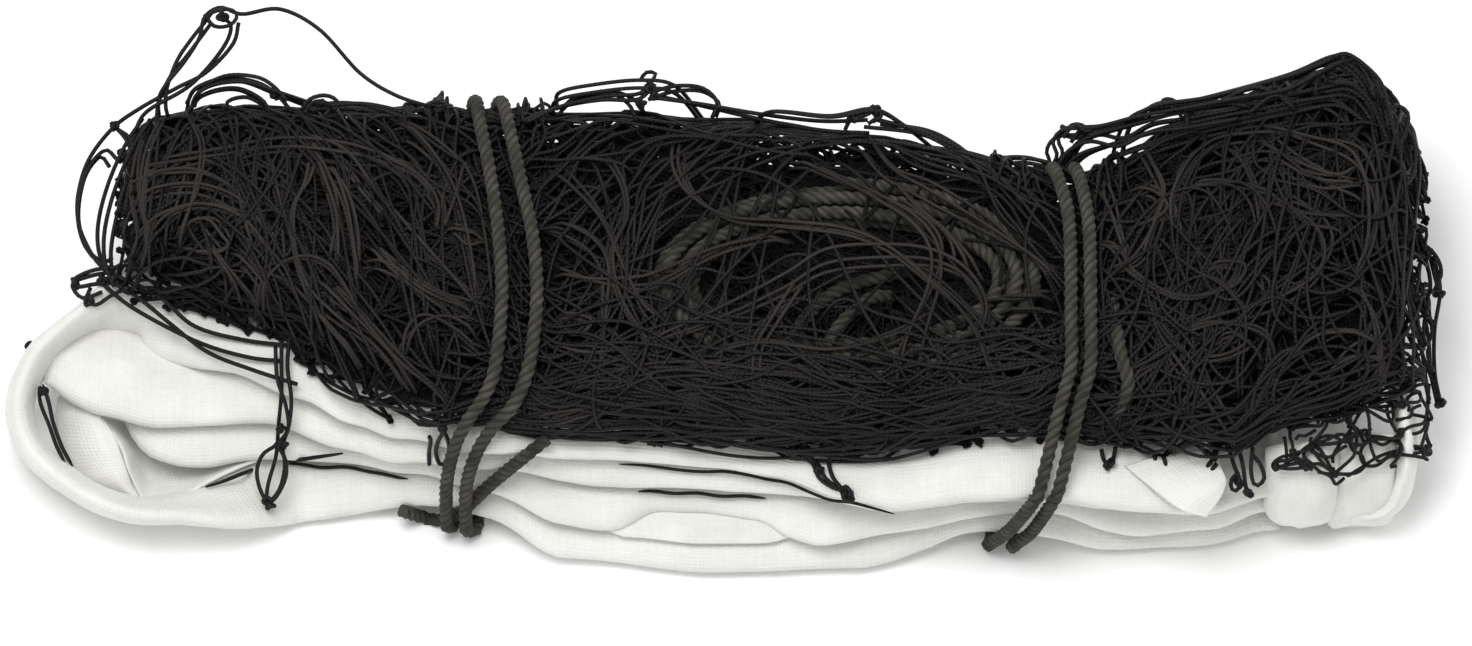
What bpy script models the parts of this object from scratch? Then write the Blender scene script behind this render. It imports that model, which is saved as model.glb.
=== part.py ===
"""A volleyball net, taken down, folded lengthwise and tied with two ropes into a bundle.

The bundle lies along X on the plane Z = 0, with its white headband towards -Y.
Lengths are in metres; tables of places are in millimetres, as their names say.
"""

import math

import bmesh
import bpy
from mathutils import Vector
from mathutils.geometry import convex_hull_2d, intersect_point_line

MM = 0.001

# Stock sizes
ROPE_DIAMETER = 0.006
TWINE_DIAMETER = 0.002
SLEEVE_FLAT_WIDTH = 0.050
SLEEVE_THICKNESS = 0.015
INNER_FOLD_GAP = 0.0007
INNER_FOLD_COUNT = 11
CLEARANCE = 0.0003
REST_CLEARANCE = 0.0009

# Inner folds of the headband, behind the runs that show
INNER_FOLD_SPAN = (-0.120, 0.272)
INNER_FOLD_FRONT = -0.019
INNER_FOLD_LOWEST = 0.0076

# The bundle
SHELF_CLEARANCE = 0.0004
NET_TOP = 0.100
COIL_POCKET = 0.0150
TIE_RISE = 0.0072
TIE_RISE_REACH = 0.016
TIE_RISE_FADE = 0.030
RIPPLE = 0.0022
RIPPLE_LENGTH = 0.060
CROWN_POWER = 2.6

# Where the three stretches of netting meet, under the ties
NET_LEFT = -0.254
NET_LEFT_SPLIT = -0.100
NET_RIGHT_SPLIT = 0.136
NET_RIGHT = 0.294

# How the photograph sees the bundle, for places that are read from it
PIXEL = 0.000417
PICTURE_MIDDLE = (725.0, 338.0)
VIEW_ELEVATION = math.radians(60)
VIEW_MIDDLE_HEIGHT = 0.050
VIEW_MIDDLE_DEPTH = -0.012

# Front edge of each run of the headband, from the lowest up: (x, front y) in mm
ROW_FRONTS_MM = (
    ((-215, -80), (-198, -78), (-135, -71), (-115, -72), (-102, -77), (-69, -93), (-10, -99),
     (52, -98), (110, -84), (156, -89), (198, -87), (226, -80)),
    ((-222, -50), (-190, -54), (-158, -56), (-130, -64), (-102, -73), (-69, -87), (-30, -91),
     (25, -95), (73, -89), (131, -83), (170, -91), (203, -88), (224, -79)),
    ((-279, -31), (-262, -41), (-236, -48), (-190, -46), (-158, -58), (-135, -67), (-102, -72),
     (-37, -76), (25, -79), (73, -88), (140, -87), (198, -89), (214, -85)),
    ((-240, -19), (-209, -29), (-176, -43), (-155, -55), (-135, -64), (-102, -73), (-56, -71),
     (-2, -75), (20, -79), (50, -90), (73, -95), (140, -94), (190, -97), (200, -95)),
)
ROW_SPANS_MM = ((-186, 224.5), (-196, 219), (-258, 214), (-240, 200))
STATION_STEP = 0.014
TURN_STEP = 0.010
CURL_STEPS = 16
# Left turn of the outermost run: (column, row, height mm, lean degrees) down its centre line
LEFT_TURN = (
    (100, 315, 54, 0), (62, 331, 53, 26), (32, 364, 45, 82), (20, 410, 35, 110),
    (33, 453, 27, 118), (75, 490, 22, 121), (130, 510, 20, 124), (178, 515, 17, 132),
    (225, 512, 13, 152),
)
FLAT_LEAN = 180
# Curl inside the left turn: a funnel of tape, (half length, half depth, height) in mm
CURL_CENTRE_MM = (-251.6, -43.8)
CURL_FOOT_MM = (19, 9, 3)
CURL_MOUTH_MM = (26, 17, 27)
CURL_ANGLES = (125, 335)
CURL_THICKNESS = 0.004
# Folds at the right end: centre lines as (column, row, height mm), with width and thickness
TUCK_LINE = ((1299, 446, 53), (1299, 474, 46), (1299, 496, 33), (1299, 511, 19), (1299, 514, 9))
TUCK_SECTION = (0.029, 0.012)
FLAP_LINE = ((1362, 436, 50), (1362, 472, 42), (1362, 500, 28), (1362, 515, 12), (1362, 517, 6))
FLAP_SECTION = (0.0225, 0.007)
RIM_LINE = ((1399, 428, 42), (1404, 462, 36), (1404, 490, 28), (1401, 508, 21), (1399, 514, 19))
RIM_SECTION = (0.026, 0.008)

# Outline of the netting across the bundle: (x, y) in mm
NET_FRONT_MM = ((-254, -1), (-228, -5), (-190, -18), (-155, -52), (-123, -69), (-52, -69), (52, -78),
                (140, -72), (205, -80), (235, -62), (294, -45))
NET_BACK_MM = ((-254, 72), (-235, 80), (-198, 83), (-119, 83), (-52, 81), (0, 78), (52, 72), (100, 60),
               (126, 49), (156, 51), (198, 82), (240, 98), (260, 107), (281, 92), (294, 70))
NET_DROP_MM = ((-254, 26), (-238, 6), (-220, 0), (-126, 0), (-110, 5), (-72, 5), (-56, 0), (262, 0),
               (282, 8), (294, 26))
CROWN_STEPS = 14
NET_WALL = INNER_FOLD_FRONT + SLEEVE_FLAT_WIDTH + CLEARANCE
NET_FOOT_INSET = 0.012

# The hank of spare rope on the netting
COIL_CENTRE = (0.050, -0.010)
COIL_HALF_SIZES = (0.080, 0.047)
COIL_TURNS = 5
COIL_PITCH = 0.0074
COIL_LAYER_STEP = 0.0068
COIL_BED_CLEARANCE = 0.0006
LOOP_POINTS = 24

# Ties: (share of the two turns in thousandths, x in mm), from underneath and round the back
LEFT_TIE_MM = ((0, -116), (42, -115), (104, -106), (150, -103.5), (225, -92), (345, -116), (500, -106),
               (542, -105), (604, -96), (650, -92.5), (725, -77.5), (845, -108), (1000, -97))
RIGHT_TIE_MM = ((0, 106), (42, 108), (140, 137), (200, 143), (255, 142.5), (295, 129.5), (330, 126),
                (378, 110), (500, 116), (542, 118), (640, 146), (700, 151), (755, 150.5), (795, 137.5),
                (830, 134), (878, 120), (1000, 126))
TIE_FEET = (-0.107, 0.117)
TIE_STAND_OFF = 0.0010
TIE_REACH = 0.011
TURN_DIRECTIONS = 120

# Places of cords are (column, row, height mm) in the photograph, with ON_THE_BUNDLE as the height
# where the cord lies on what the photograph shows there, or (x mm, share of the crown from its lip)
ON_THE_BUNDLE = 0
SIGHT_START = 0.115
ROPE_ENDS = {
    "left_tie_stub": ((437, 520, 0), (421, 517, 0), (403, 511, 0)),
    "left_tie_hitch": ((548, 438, 0), (528, 454, 0), (508, 470, 0), (491, 484, 0)),
    "right_tie_bight": ((160, 0.46), (163, 0.34), (166, 0.26), (161, 0.19)),
}

# Long strands of twine over each stretch: (left x, right x, sweeps) in mm
STRAND_SPANS_MM = (("left", -232, -130, 3), ("middle", -62, 116, 4), ("right", 174, 260, 3))
STRAND_STEPS = 20
STRAND_LIFT = 0.0012
STRAND_GAP = 0.0008
STRAND_SHARES = (0.17, 0.85)
LENGTHWISE_SWEEPS = 3
LOOP_SPACING = 0.006
KNOT_SWELL = 1.9

# Loops of twine
TWINE_LOOPS = {
    "netting_stray_loop": (
        (-119, 0.93), (428, 106, 95), (395, 95, 101), (360, 73, 106), (320, 30, 112), (280, 9, 113),
        (242, 14, 112), (220, 7, 110), (204, 17, 110), (199, 38, 107), (184, 62, 103), (160, 94, 96),
        (-237, 0.93)),
    "netting_stray_leg": (
        (216, 17, 106), (230, 24, 104), (222, 48, 101), (190, 85, 97), (146, 112, 92), (-248, 0.9)),
    "netting_left_loop": (
        (117, 160, 80), (104, 150, 80), (86, 172, 79), (78, 212, 76), (86, 246, 73), (104, 262, 71),
        (113, 258, 70)),
    "netting_corner_knot": (
        (114, 272, 70), (92, 276, 69), (74, 284, 68), (84, 298, 67), (104, 292, 68)),
    "netting_drape_strand": (
        (104, 284, 68), (136, 309, 64.4), (200, 342, 62.7), (250, 357, 62.7), (285, 361, 62.7)),
    "netting_top_loop_left": (
        (-226, 0.93), (192, 92, 97), (212, 82, 99), (244, 82, 99), (278, 95, 96), (-168, 0.93)),
    "netting_top_loop_middle": (
        (-72, 0.93), (556, 101, 96), (590, 93, 99), (640, 88, 100), (676, 94, 98), (-8, 0.93)),
    "netting_top_loop_centre": (
        (12, 0.93), (770, 112, 97), (830, 116, 96), (872, 109, 97), (902, 124, 93), (92, 0.93)),
    "netting_apex_loop": (
        (164, 0.93), (1140, 113, 98), (1210, 97, 102), (1290, 76, 105), (1336, 58, 108),
        (1358, 60, 107), (1374, 80, 104), (1382, 102, 99), (273, 0.8)),
    "netting_right_loop": (
        (1392, 128, 93), (1402, 124, 92), (1414, 142, 91), (1413, 170, 91), (1404, 186, 92)),
    "netting_right_strip": (
        (1434, 258, 62), (1440, 290, 58), (1434, 330, 52), (1434, 372, 44), (1440, 404, 38)),
    "netting_hanging_left": (
        (284, 340, 70), (284, 364, 66), (284, 392, 60), (280, 425, 43), (277, 455, 31),
        (269, 484, 25), (267, 504, 22.5)),
    "netting_hanging_pair": (
        (-122, 0.0), (433, 440, 0), (431, 452, 0), (431, 464, 0)),
    "netting_hanging_centre": (
        (34, 0.05), (818, 464, 0), (824, 476, 0), (842, 491, 0)),
    "netting_hanging_right": (
        (181, 0.03), (1166, 473, 0), (1182, 478, 0), (1197, 472, 0), (201, 0.03)),
}
KNOTTED_ENDS = ("netting_hanging_left", "netting_hanging_centre", "netting_right_strip")

# Lacing twine that shows in the creases of the headband, from the lowest crease up: (left, right) x in mm
LACING_SPANS_MM = {"lacing_left": (-183, -132), "lacing_middle": (-36, 17), "lacing_front": (-44, 70)}
LACING_STEPS = 9
LACING_INSET = 0.0014

# Open cells of net that spill over the right end of the headband
OPEN_NET_SPAN = (0.237, 0.290)
OPEN_NET_DEPTH = 0.030
OPEN_NET_CELLS = (5, 3)
OPEN_NET_LIFT = 0.0006

# Moves the bundle so that the middle of its box stands over the origin
ORIGIN_SHIFT = (0.0007, -0.0062, 0)

# Colours from the photograph, linear
CANVAS = ("canvas", (0.82, 0.82, 0.80), 0.9)
TWINE = ("black_twine", (0.008, 0.008, 0.009), 0.6)
ROPE = ("olive_rope", (0.045, 0.048, 0.038), 0.75)


def clear_scene():
    """Remove every object of the open scene."""
    for item in list(bpy.data.objects):
        bpy.data.objects.remove(item, do_unlink=True)


def make_collection(name):
    """Link a new collection to the scene."""
    collection = bpy.data.collections.new(name)
    bpy.context.scene.collection.children.link(collection)
    return collection


def make_material(name, finish):
    """Plain finish of one part."""
    _, colour, roughness = finish
    material = bpy.data.materials.new(name)
    material.use_nodes = True
    shader = material.node_tree.nodes["Principled BSDF"]
    shader.inputs["Base Color"].default_value = (*colour, 1)
    shader.inputs["Roughness"].default_value = roughness
    shader.inputs["Metallic"].default_value = 0
    return material


def follow(table_mm, x):
    """Value in metres at x of a table in mm, easing from each entry to the next."""
    x_mm = x / MM
    if x_mm <= table_mm[0][0]:
        return table_mm[0][1] * MM
    for (x0, v0), (x1, v1) in zip(table_mm, table_mm[1:]):
        if x_mm <= x1:
            t = (x_mm - x0) / (x1 - x0)
            return (v0 + (v1 - v0) * t * t * (3 - 2 * t)) * MM
    return table_mm[-1][1] * MM


def seen_at(column, row, height):
    """Place at a height over the floor that the photograph shows at a column and row."""
    up = (PICTURE_MIDDLE[1] - row) * PIXEL
    rise = (height - VIEW_MIDDLE_HEIGHT) * math.cos(VIEW_ELEVATION)
    y = (up - rise) / math.sin(VIEW_ELEVATION) + VIEW_MIDDLE_DEPTH
    return Vector(((column - PICTURE_MIDDLE[0]) * PIXEL, y, height))


def smooth_route(points, spacing):
    """Points a spacing apart on a smooth curve through the given ones, of any dimension."""
    ends = [points[0] * 2 - points[1]] + list(points) + [points[-1] * 2 - points[-2]]
    route = [points[0].copy()]
    for a, b, c, d in zip(ends, ends[1:], ends[2:], ends[3:]):
        pieces = max(1, round((c.xyz - b.xyz).length / spacing))
        for step in range(1, pieces + 1):
            t = step / pieces
            point = (b * 2 + (c - a) * t + (a * 2 - b * 5 + c * 4 - d) * t * t
                     + (b * 3 - a - c * 3 + d) * t ** 3) * 0.5
            route.append(point)
    return route


def tie_rise(x):
    """How far the bundle lifts off the floor over the ropes that pass under it."""
    start = math.floor(x / STATION_STEP)
    lifts = []
    for station in (start, start + 1):
        lift = 0.0
        for foot in TIE_FEET:
            beyond = (abs(station * STATION_STEP - foot) - TIE_RISE_REACH) / TIE_RISE_FADE
            t = min(1.0, max(0.0, beyond))
            lift = max(lift, TIE_RISE * (1 - t * t * (3 - 2 * t)))
        lifts.append(lift)
    return lifts[0] + (lifts[1] - lifts[0]) * (x / STATION_STEP - start)


def station_places(left, right):
    """Places along X from left to right, on stations that every part shares."""
    first = math.floor(left / STATION_STEP) + 1
    last = math.ceil(right / STATION_STEP) - 1
    return [left] + [station * STATION_STEP for station in range(first, last + 1)] + [right]


def sleeve_width():
    """Width of the flat sleeve once it is plumped to its thickness."""
    return SLEEVE_FLAT_WIDTH - (math.pi / 2 - 1) * SLEEVE_THICKNESS


def row_height(index, x):
    """Height of the middle of one run of the headband."""
    return SLEEVE_THICKNESS / 2 + index * (SLEEVE_THICKNESS + CLEARANCE) + tie_rise(x)


def shelf_height(x):
    """Underside of the netting where it lies on the headband."""
    stack = len(ROW_FRONTS_MM) * (SLEEVE_THICKNESS + CLEARANCE)
    return stack + SHELF_CLEARANCE + tie_rise(x)


def row_stations(index):
    """Stations of one run, from its left end to its right end, cut square to X."""
    left, right = ROW_SPANS_MM[index]
    stations = []
    for x in station_places(left * MM, right * MM):
        y = follow(ROW_FRONTS_MM[index], x) + sleeve_width() / 2
        stations.append((Vector((x, y, row_height(index, x))), Vector((0, 1, 0)), Vector((1, 0, 0))))
    return stations


def stadium(width, thickness):
    """Flat oval section: level top and bottom and half-round edges."""
    radius = thickness / 2
    half = width / 2 - radius
    points = []
    for side in (1, -1):
        for step in range(5):
            angle = math.radians(-90 + 45 * step) * side
            points.append((side * (half + radius * math.cos(angle)), radius * math.sin(angle)))
    return points


def loft(name, rings, finish, collection):
    """Close a row of unlike rings, each with as many points, into one body."""
    mesh = bpy.data.meshes.new(name)
    body = bmesh.new()
    made = [[body.verts.new(point) for point in ring] for ring in rings]
    for near, far in zip(made, made[1:]):
        for index in range(len(near)):
            after = (index + 1) % len(near)
            body.faces.new((near[index], near[after], far[after], far[index]))
    body.faces.new(list(reversed(made[0])))
    body.faces.new(made[-1])
    bmesh.ops.recalc_face_normals(body, faces=body.faces)
    body.to_mesh(mesh)
    body.free()
    return add_object(name, mesh, finish, collection)


def add_object(name, data, finish, collection):
    """Link an object for a mesh or a curve, with a finish of its own."""
    item = bpy.data.objects.new(name, data)
    data.materials.append(make_material(name + "_" + finish[0], finish))
    collection.objects.link(item)
    return item


def band(name, stations, width, thickness, collection):
    """Sleeve along stations of (centre, direction across it, direction along it)."""
    rings = []
    for centre, across, along in stations:
        flat = (across - along * across.dot(along)).normalized()
        outward = along.cross(flat)
        rings.append([centre + flat * u + outward * v for u, v in stadium(width, thickness)])
    return loft(name, rings, CANVAS, collection)


def with_directions(centres, across):
    """Stations for centre points, each with the direction of the line there."""
    last = len(centres) - 1
    stations = []
    for index, centre in enumerate(centres):
        ahead = centres[min(last, index + 1)] - centres[max(0, index - 1)]
        stations.append((centre, across[index], ahead.normalized()))
    return stations


def crown_profile(x, dipped=True):
    """Section of the netting at x, as (y, z): crown, back, foot, wall and shelf."""
    front = follow(NET_FRONT_MM, x)
    back = follow(NET_BACK_MM, x)
    shelf = shelf_height(x)
    dip = coil_dip(x)
    top = NET_TOP - follow(NET_DROP_MM, x) - (dip * COIL_POCKET if dipped else 0)
    ripple = RIPPLE * (1 - dip) * math.sin(2 * math.pi * x / RIPPLE_LENGTH)
    middle = (front + back) / 2
    half = (back - front) / 2
    points = []
    for step in range(CROWN_STEPS + 1):
        angle = math.pi * (1 - step / CROWN_STEPS)
        reach = abs(math.cos(angle)) ** (2 / CROWN_POWER) * math.copysign(1, math.cos(angle))
        rise = abs(math.sin(angle)) ** (2 / CROWN_POWER)
        wave = ripple * math.sin(3 * angle)
        points.append((middle + half * reach, shelf + (top - shelf + wave) * rise))
    foot = tie_rise(x)
    points.append((back - NET_FOOT_INSET / 4, (shelf + foot) / 2))
    points.append((back - NET_FOOT_INSET, foot))
    points.append((NET_WALL, foot))
    points.append((NET_WALL, shelf))
    return points


def coil_dip(x):
    """Share of the full dip that the netting has at x, under the hank of rope."""
    reach = COIL_HALF_SIZES[0] + ROPE_DIAMETER
    beyond = (abs(x - COIL_CENTRE[0]) - reach) / (2 * ROPE_DIAMETER)
    t = min(1.0, max(0.0, beyond))
    return 1 - t * t * (3 - 2 * t)


def netting_lump(name, left, right, collection):
    """One stretch of the gathered netting."""
    rings = []
    for x in station_places(left, right):
        rings.append([Vector((x, y, z)) for y, z in crown_profile(x)])
    return loft(name, rings, TWINE, collection)


def crown_facets(x, dipped=True):
    """Crown of the netting at x, as its facets run between two stations."""
    start = math.floor(x / STATION_STEP)
    share = x / STATION_STEP - start
    near = crown_profile(start * STATION_STEP, dipped)[:CROWN_STEPS + 1]
    far = crown_profile((start + 1) * STATION_STEP, dipped)[:CROWN_STEPS + 1]
    return [Vector(a).lerp(Vector(b), share) for a, b in zip(near, far)]


def skin_point(x, share, lift, dipped=True):
    """Point over the netting's crown: share 0 is its front lip and 1 its back edge."""
    crown = crown_facets(x, dipped)
    place = min(0.999, max(0.0, share)) * CROWN_STEPS
    index = int(place)
    point = crown[index].lerp(crown[index + 1], place - index)
    along = (crown[index + 1] - crown[index]).normalized()
    return Vector((x, point.x - along.y * lift, point.y + along.x * lift))


def free_space(place):
    """Distance from a place to the netting's crown or the headband's runs, across the bundle."""
    spot = Vector((place.y, place.z))
    nearest = math.inf
    if NET_LEFT < place.x < NET_RIGHT:
        crown = crown_facets(place.x)
        for start, end in zip(crown, crown[1:]):
            foot, share = intersect_point_line(spot, start, end)
            foot = start.lerp(end, min(1.0, max(0.0, share)))
            nearest = min(nearest, (spot - foot).length)
    half = sleeve_width() / 2 - SLEEVE_THICKNESS / 2
    for index, (left, right) in enumerate(ROW_SPANS_MM):
        if left * MM <= place.x <= right * MM:
            middle = follow(ROW_FRONTS_MM[index], place.x) + sleeve_width() / 2
            aside = max(0.0, abs(place.y - middle) - half)
            above = place.z - row_height(index, place.x)
            nearest = min(nearest, math.hypot(aside, above) - SLEEVE_THICKNESS / 2)
    return nearest


def resting_place(column, row, radius):
    """Where a cord that the photograph shows at a column and row lies on the bundle."""
    height = SIGHT_START
    place = seen_at(column, row, height)
    while height > radius and free_space(place) > radius + REST_CLEARANCE:
        height -= CLEARANCE
        place = seen_at(column, row, height)
    return place


def tube(name, route, diameter, finish, collection, knots=(), roundness=1):
    """Round cord on a polyline, swollen at the points where it is knotted."""
    curve = bpy.data.curves.new(name, "CURVE")
    curve.dimensions = "3D"
    curve.bevel_depth = diameter / 2
    curve.bevel_resolution = roundness
    curve.use_fill_caps = True
    spline = curve.splines.new("POLY")
    spline.points.add(len(route) - 1)
    for point, place in zip(spline.points, route):
        point.co = (*place, 1)
    for knot in knots:
        spline.points[knot].radius = KNOT_SWELL
    return add_object(name, curve, finish, collection)


def least_gap(route, diameter, apart):
    """Least free gap of a cord to itself, between points some way apart along it."""
    nearest = math.inf
    for index, point in enumerate(route):
        for other in route[index + apart:]:
            nearest = min(nearest, (point - other).length)
    return nearest - diameter


def between(route):
    """The same route with the middle of each stretch added."""
    fine = [route[0]]
    for near, far in zip(route, route[1:]):
        fine += [near.lerp(far, 0.5), far]
    return fine


def report_gap(name, route, diameter):
    """Print how near a wound cord comes to itself."""
    gap = least_gap(between(between(route)), diameter, LOOP_POINTS * 2)
    print(f"{name}: least gap to itself {gap / MM:.2f} mm")


def wrap_outline(x):
    """Outline (y, z) that a rope drawn round the bundle near x lies on."""
    points = []
    for place in (x - TIE_REACH, x, x + TIE_REACH):
        points += crown_profile(place)
        for index, fronts in enumerate(ROW_FRONTS_MM):
            middle = follow(fronts, place) + sleeve_width() / 2
            height = row_height(index, place)
            section = stadium(sleeve_width(), SLEEVE_THICKNESS)
            points += [(middle + u, height + v) for u, v in section]
    return [Vector(points[index]) for index in convex_hull_2d([Vector(p) for p in points])]


def tie_place(x, share):
    """Middle of a tight rope at x, after a share of one turn from underneath round the back.

    The share counts a bend of the outline as much as its length, so bends get their points.
    """
    outline = wrap_outline(x)
    places = []
    for step in range(TURN_DIRECTIONS + 1):
        angle = 2 * math.pi * (step + 0.5) / TURN_DIRECTIONS - math.pi / 2
        out = Vector((math.cos(angle), math.sin(angle)))
        touch = max(outline, key=lambda point: point.dot(out))
        places.append(touch + out * (ROPE_DIAMETER / 2 + TIE_STAND_OFF))
    lengths = [0.0]
    for near, far in zip(places, places[1:]):
        lengths.append(lengths[-1] + (far - near).length)
    shares = [(length / lengths[-1] + step / TURN_DIRECTIONS) / 2 for step, length in enumerate(lengths)]
    for near, far, start, end in zip(places, places[1:], shares, shares[1:]):
        if share <= end:
            place = near.lerp(far, (share - start) / (end - start))
            break
    return Vector((x, place.x, max(place.y, ROPE_DIAMETER / 2 + CLEARANCE)))


def tie_route(table_mm):
    """Two turns of rope round the bundle, drawn tight on its outline."""
    route = []
    for step in range(2 * LOOP_POINTS + 1):
        turns = step / LOOP_POINTS
        route.append(tie_place(follow(table_mm, turns / 2), turns % 1))
    return route


def crown_height(x, y):
    """Height of the netting's crown over a place."""
    crown = crown_facets(x)
    for near, far in zip(crown, crown[1:]):
        if y <= far.x:
            return near.y + (far.y - near.y) * (y - near.x) / (far.x - near.x)
    return crown[-1].y


def coil_route():
    """Hank of rope: an oval spiral inwards, one layer up, and outwards again."""
    count = COIL_TURNS * LOOP_POINTS
    route = []
    for step in range(count + 1):
        turn = step / LOOP_POINTS
        inward = min(turn, COIL_TURNS - turn) * COIL_PITCH
        climb = min(1.0, max(0.0, turn - COIL_TURNS / 2 + 0.25) / 0.5)
        angle = 2 * math.pi * turn + math.pi / 2
        x = COIL_CENTRE[0] + (COIL_HALF_SIZES[0] - inward) * math.cos(angle)
        y = COIL_CENTRE[1] + (COIL_HALF_SIZES[1] - inward) * math.sin(angle)
        bed = crown_height(x, y) + ROPE_DIAMETER / 2 + COIL_BED_CLEARANCE
        route.append(Vector((x, y, bed + COIL_LAYER_STEP * climb)))
    return route


def cord_place(place, radius):
    """Place of a cord's point: seen at a height or on the bundle, or at a share of the crown."""
    if len(place) == 2:
        return skin_point(place[0] * MM, place[1], radius + REST_CLEARANCE)
    column, row, height = place
    if height == ON_THE_BUNDLE:
        return resting_place(column, row, radius)
    return seen_at(column, row, height * MM)


def build_headband(collection):
    """White canvas sleeve: the runs that show and its turns and folds at the ends."""
    top = [(c, -a, -b) for c, a, b in reversed(row_stations(3))]
    bottom = row_stations(0)
    places = [seen_at(c, r, h * MM).to_4d() for c, r, h, _ in LEFT_TURN]
    for place, station in zip(places, LEFT_TURN):
        place.w = station[3] * MM
    start = top[-1][0].to_4d()
    start.w = 0
    end = bottom[0][0].to_4d()
    end.w = FLAT_LEAN * MM
    curve = smooth_route([start] + places + [end], TURN_STEP)[1:-1]
    leans = [math.radians(point.w / MM) for point in curve]
    across = [Vector((0, -math.cos(lean), -math.sin(lean))) for lean in leans]
    turn = with_directions([point.xyz for point in curve], across)
    width = sleeve_width()
    band("headband_outer_fold", top + turn + bottom, width, SLEEVE_THICKNESS, collection)
    band("headband_third_run", row_stations(1), width, SLEEVE_THICKNESS, collection)
    band("headband_second_run", row_stations(2), width, SLEEVE_THICKNESS, collection)
    build_curl(collection)
    build_right_folds(collection)
    build_inner_folds(collection)


def build_curl(collection):
    """Tape that curls round in a funnel inside the left turn."""
    middle = Vector((CURL_CENTRE_MM[0], CURL_CENTRE_MM[1], 0)) * MM
    lows, highs = [], []
    first, last = CURL_ANGLES
    for step in range(CURL_STEPS + 1):
        angle = math.radians(first + (last - first) * step / CURL_STEPS)
        round_it = Vector((math.cos(angle), math.sin(angle), 1))
        lows.append(middle + Vector(CURL_FOOT_MM) * round_it * MM)
        highs.append(middle + Vector(CURL_MOUTH_MM) * round_it * MM)
    centres = [(low + high) / 2 for low, high in zip(lows, highs)]
    across = [high - low for low, high in zip(lows, highs)]
    width = min(edge.length for edge in across) + CURL_THICKNESS
    band("headband_inner_curl", with_directions(centres, across), width, CURL_THICKNESS, collection)


def build_right_folds(collection):
    """Tuck, flap and rim that the tape makes at the right end."""
    folds = (
        ("headband_tuck", TUCK_LINE, TUCK_SECTION, Vector((1, 0, 0))),
        ("headband_right_flap", FLAP_LINE, FLAP_SECTION, Vector((1, 0, 0))),
        ("headband_right_rim", RIM_LINE, RIM_SECTION, Vector((0, -0.5, 0.87))),
    )
    for name, line, (width, thickness), across in folds:
        centres = smooth_route([seen_at(c, r, h * MM) for c, r, h in line], TURN_STEP)
        stations = with_directions(centres, [across] * len(centres))
        band(name, stations, width, thickness, collection)


def build_inner_folds(collection):
    """The rest of the headband, folded to and fro behind the runs that show."""
    left, right = INNER_FOLD_SPAN
    highest = len(ROW_FRONTS_MM) * (SLEEVE_THICKNESS + CLEARANCE)
    pitch = (highest - INNER_FOLD_LOWEST) / INNER_FOLD_COUNT
    half = (pitch - INNER_FOLD_GAP) / 2
    line = []
    for fold in range(INNER_FOLD_COUNT):
        z = INNER_FOLD_LOWEST + pitch * (fold + 0.5) - INNER_FOLD_GAP / 2
        ends = (left, right) if fold % 2 == 0 else (right, left)
        line += [((ends[0]), z, 0), ((ends[1]), z, 0)]
        if fold < INNER_FOLD_COUNT - 1:
            side = 1 if fold % 2 == 0 else -1
            line.append((ends[1] + side * pitch / 2, z + pitch / 2, side))
    rings = []
    heading = 1
    for x, z, side in line:
        out = Vector((-side, 0, 0)) if side else Vector((0, 0, heading))
        centre = Vector((x, INNER_FOLD_FRONT + SLEEVE_FLAT_WIDTH / 2, z))
        across = Vector((0, SLEEVE_FLAT_WIDTH / 2, 0))
        rings.append([centre + across + out * half, centre - across + out * half,
                      centre - across - out * half, centre + across - out * half])
        if side:
            heading = -heading
    loft("headband_inner_folds", rings, CANVAS, collection)


def build_netting(collection):
    """Gathered netting in three stretches, long strands over them and open cells."""
    gap = CLEARANCE / 2
    netting_lump("netting_left_end", NET_LEFT, NET_LEFT_SPLIT - gap, collection)
    netting_lump("netting_middle", NET_LEFT_SPLIT + gap, NET_RIGHT_SPLIT - gap, collection)
    netting_lump("netting_right_end", NET_RIGHT_SPLIT + gap, NET_RIGHT, collection)
    for name, left, right, sweeps in STRAND_SPANS_MM:
        build_strands(name, left * MM, right * MM, sweeps, collection)
    for name, places in TWINE_LOOPS.items():
        radius = TWINE_DIAMETER / 2 * (KNOT_SWELL if name in KNOTTED_ENDS else 1)
        route = smooth_route([cord_place(place, radius) for place in places], LOOP_SPACING)
        knots = (len(route) - 2, len(route) - 1) if name in KNOTTED_ENDS else ()
        tube(name, route, TWINE_DIAMETER, TWINE, collection, knots)
    build_open_net(collection)


def build_strands(name, left, right, sweeps, collection):
    """One strand that sweeps from front to back and, over it, one that runs lengthwise."""
    under, over = [], []
    low_lift = TWINE_DIAMETER / 2 + STRAND_LIFT
    high_lift = low_lift + TWINE_DIAMETER + STRAND_GAP
    end_lift = TWINE_DIAMETER / 2 + REST_CLEARANCE
    first, last = STRAND_SHARES
    steps = sweeps * STRAND_STEPS
    for step in range(steps + 1):
        swing = 0.5 - 0.5 * math.cos(2 * math.pi * step / STRAND_STEPS)
        lift = end_lift if step in (0, steps) else low_lift
        share = first + (last - first) * swing
        under.append(skin_point(left + (right - left) * step / steps, share, lift, dipped=False))
    steps = LENGTHWISE_SWEEPS * STRAND_STEPS
    for step in range(steps + 1):
        swing = 0.5 - 0.5 * math.cos(2 * math.pi * step / STRAND_STEPS)
        share = first + (last - first) * (0.1 + 0.8 * step / steps)
        over.append(skin_point(left + (right - left) * swing, share, high_lift, dipped=False))
    tube(f"netting_{name}_cross_strand", under, TWINE_DIAMETER, TWINE, collection)
    tube(f"netting_{name}_long_strand", over, TWINE_DIAMETER, TWINE, collection)


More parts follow.
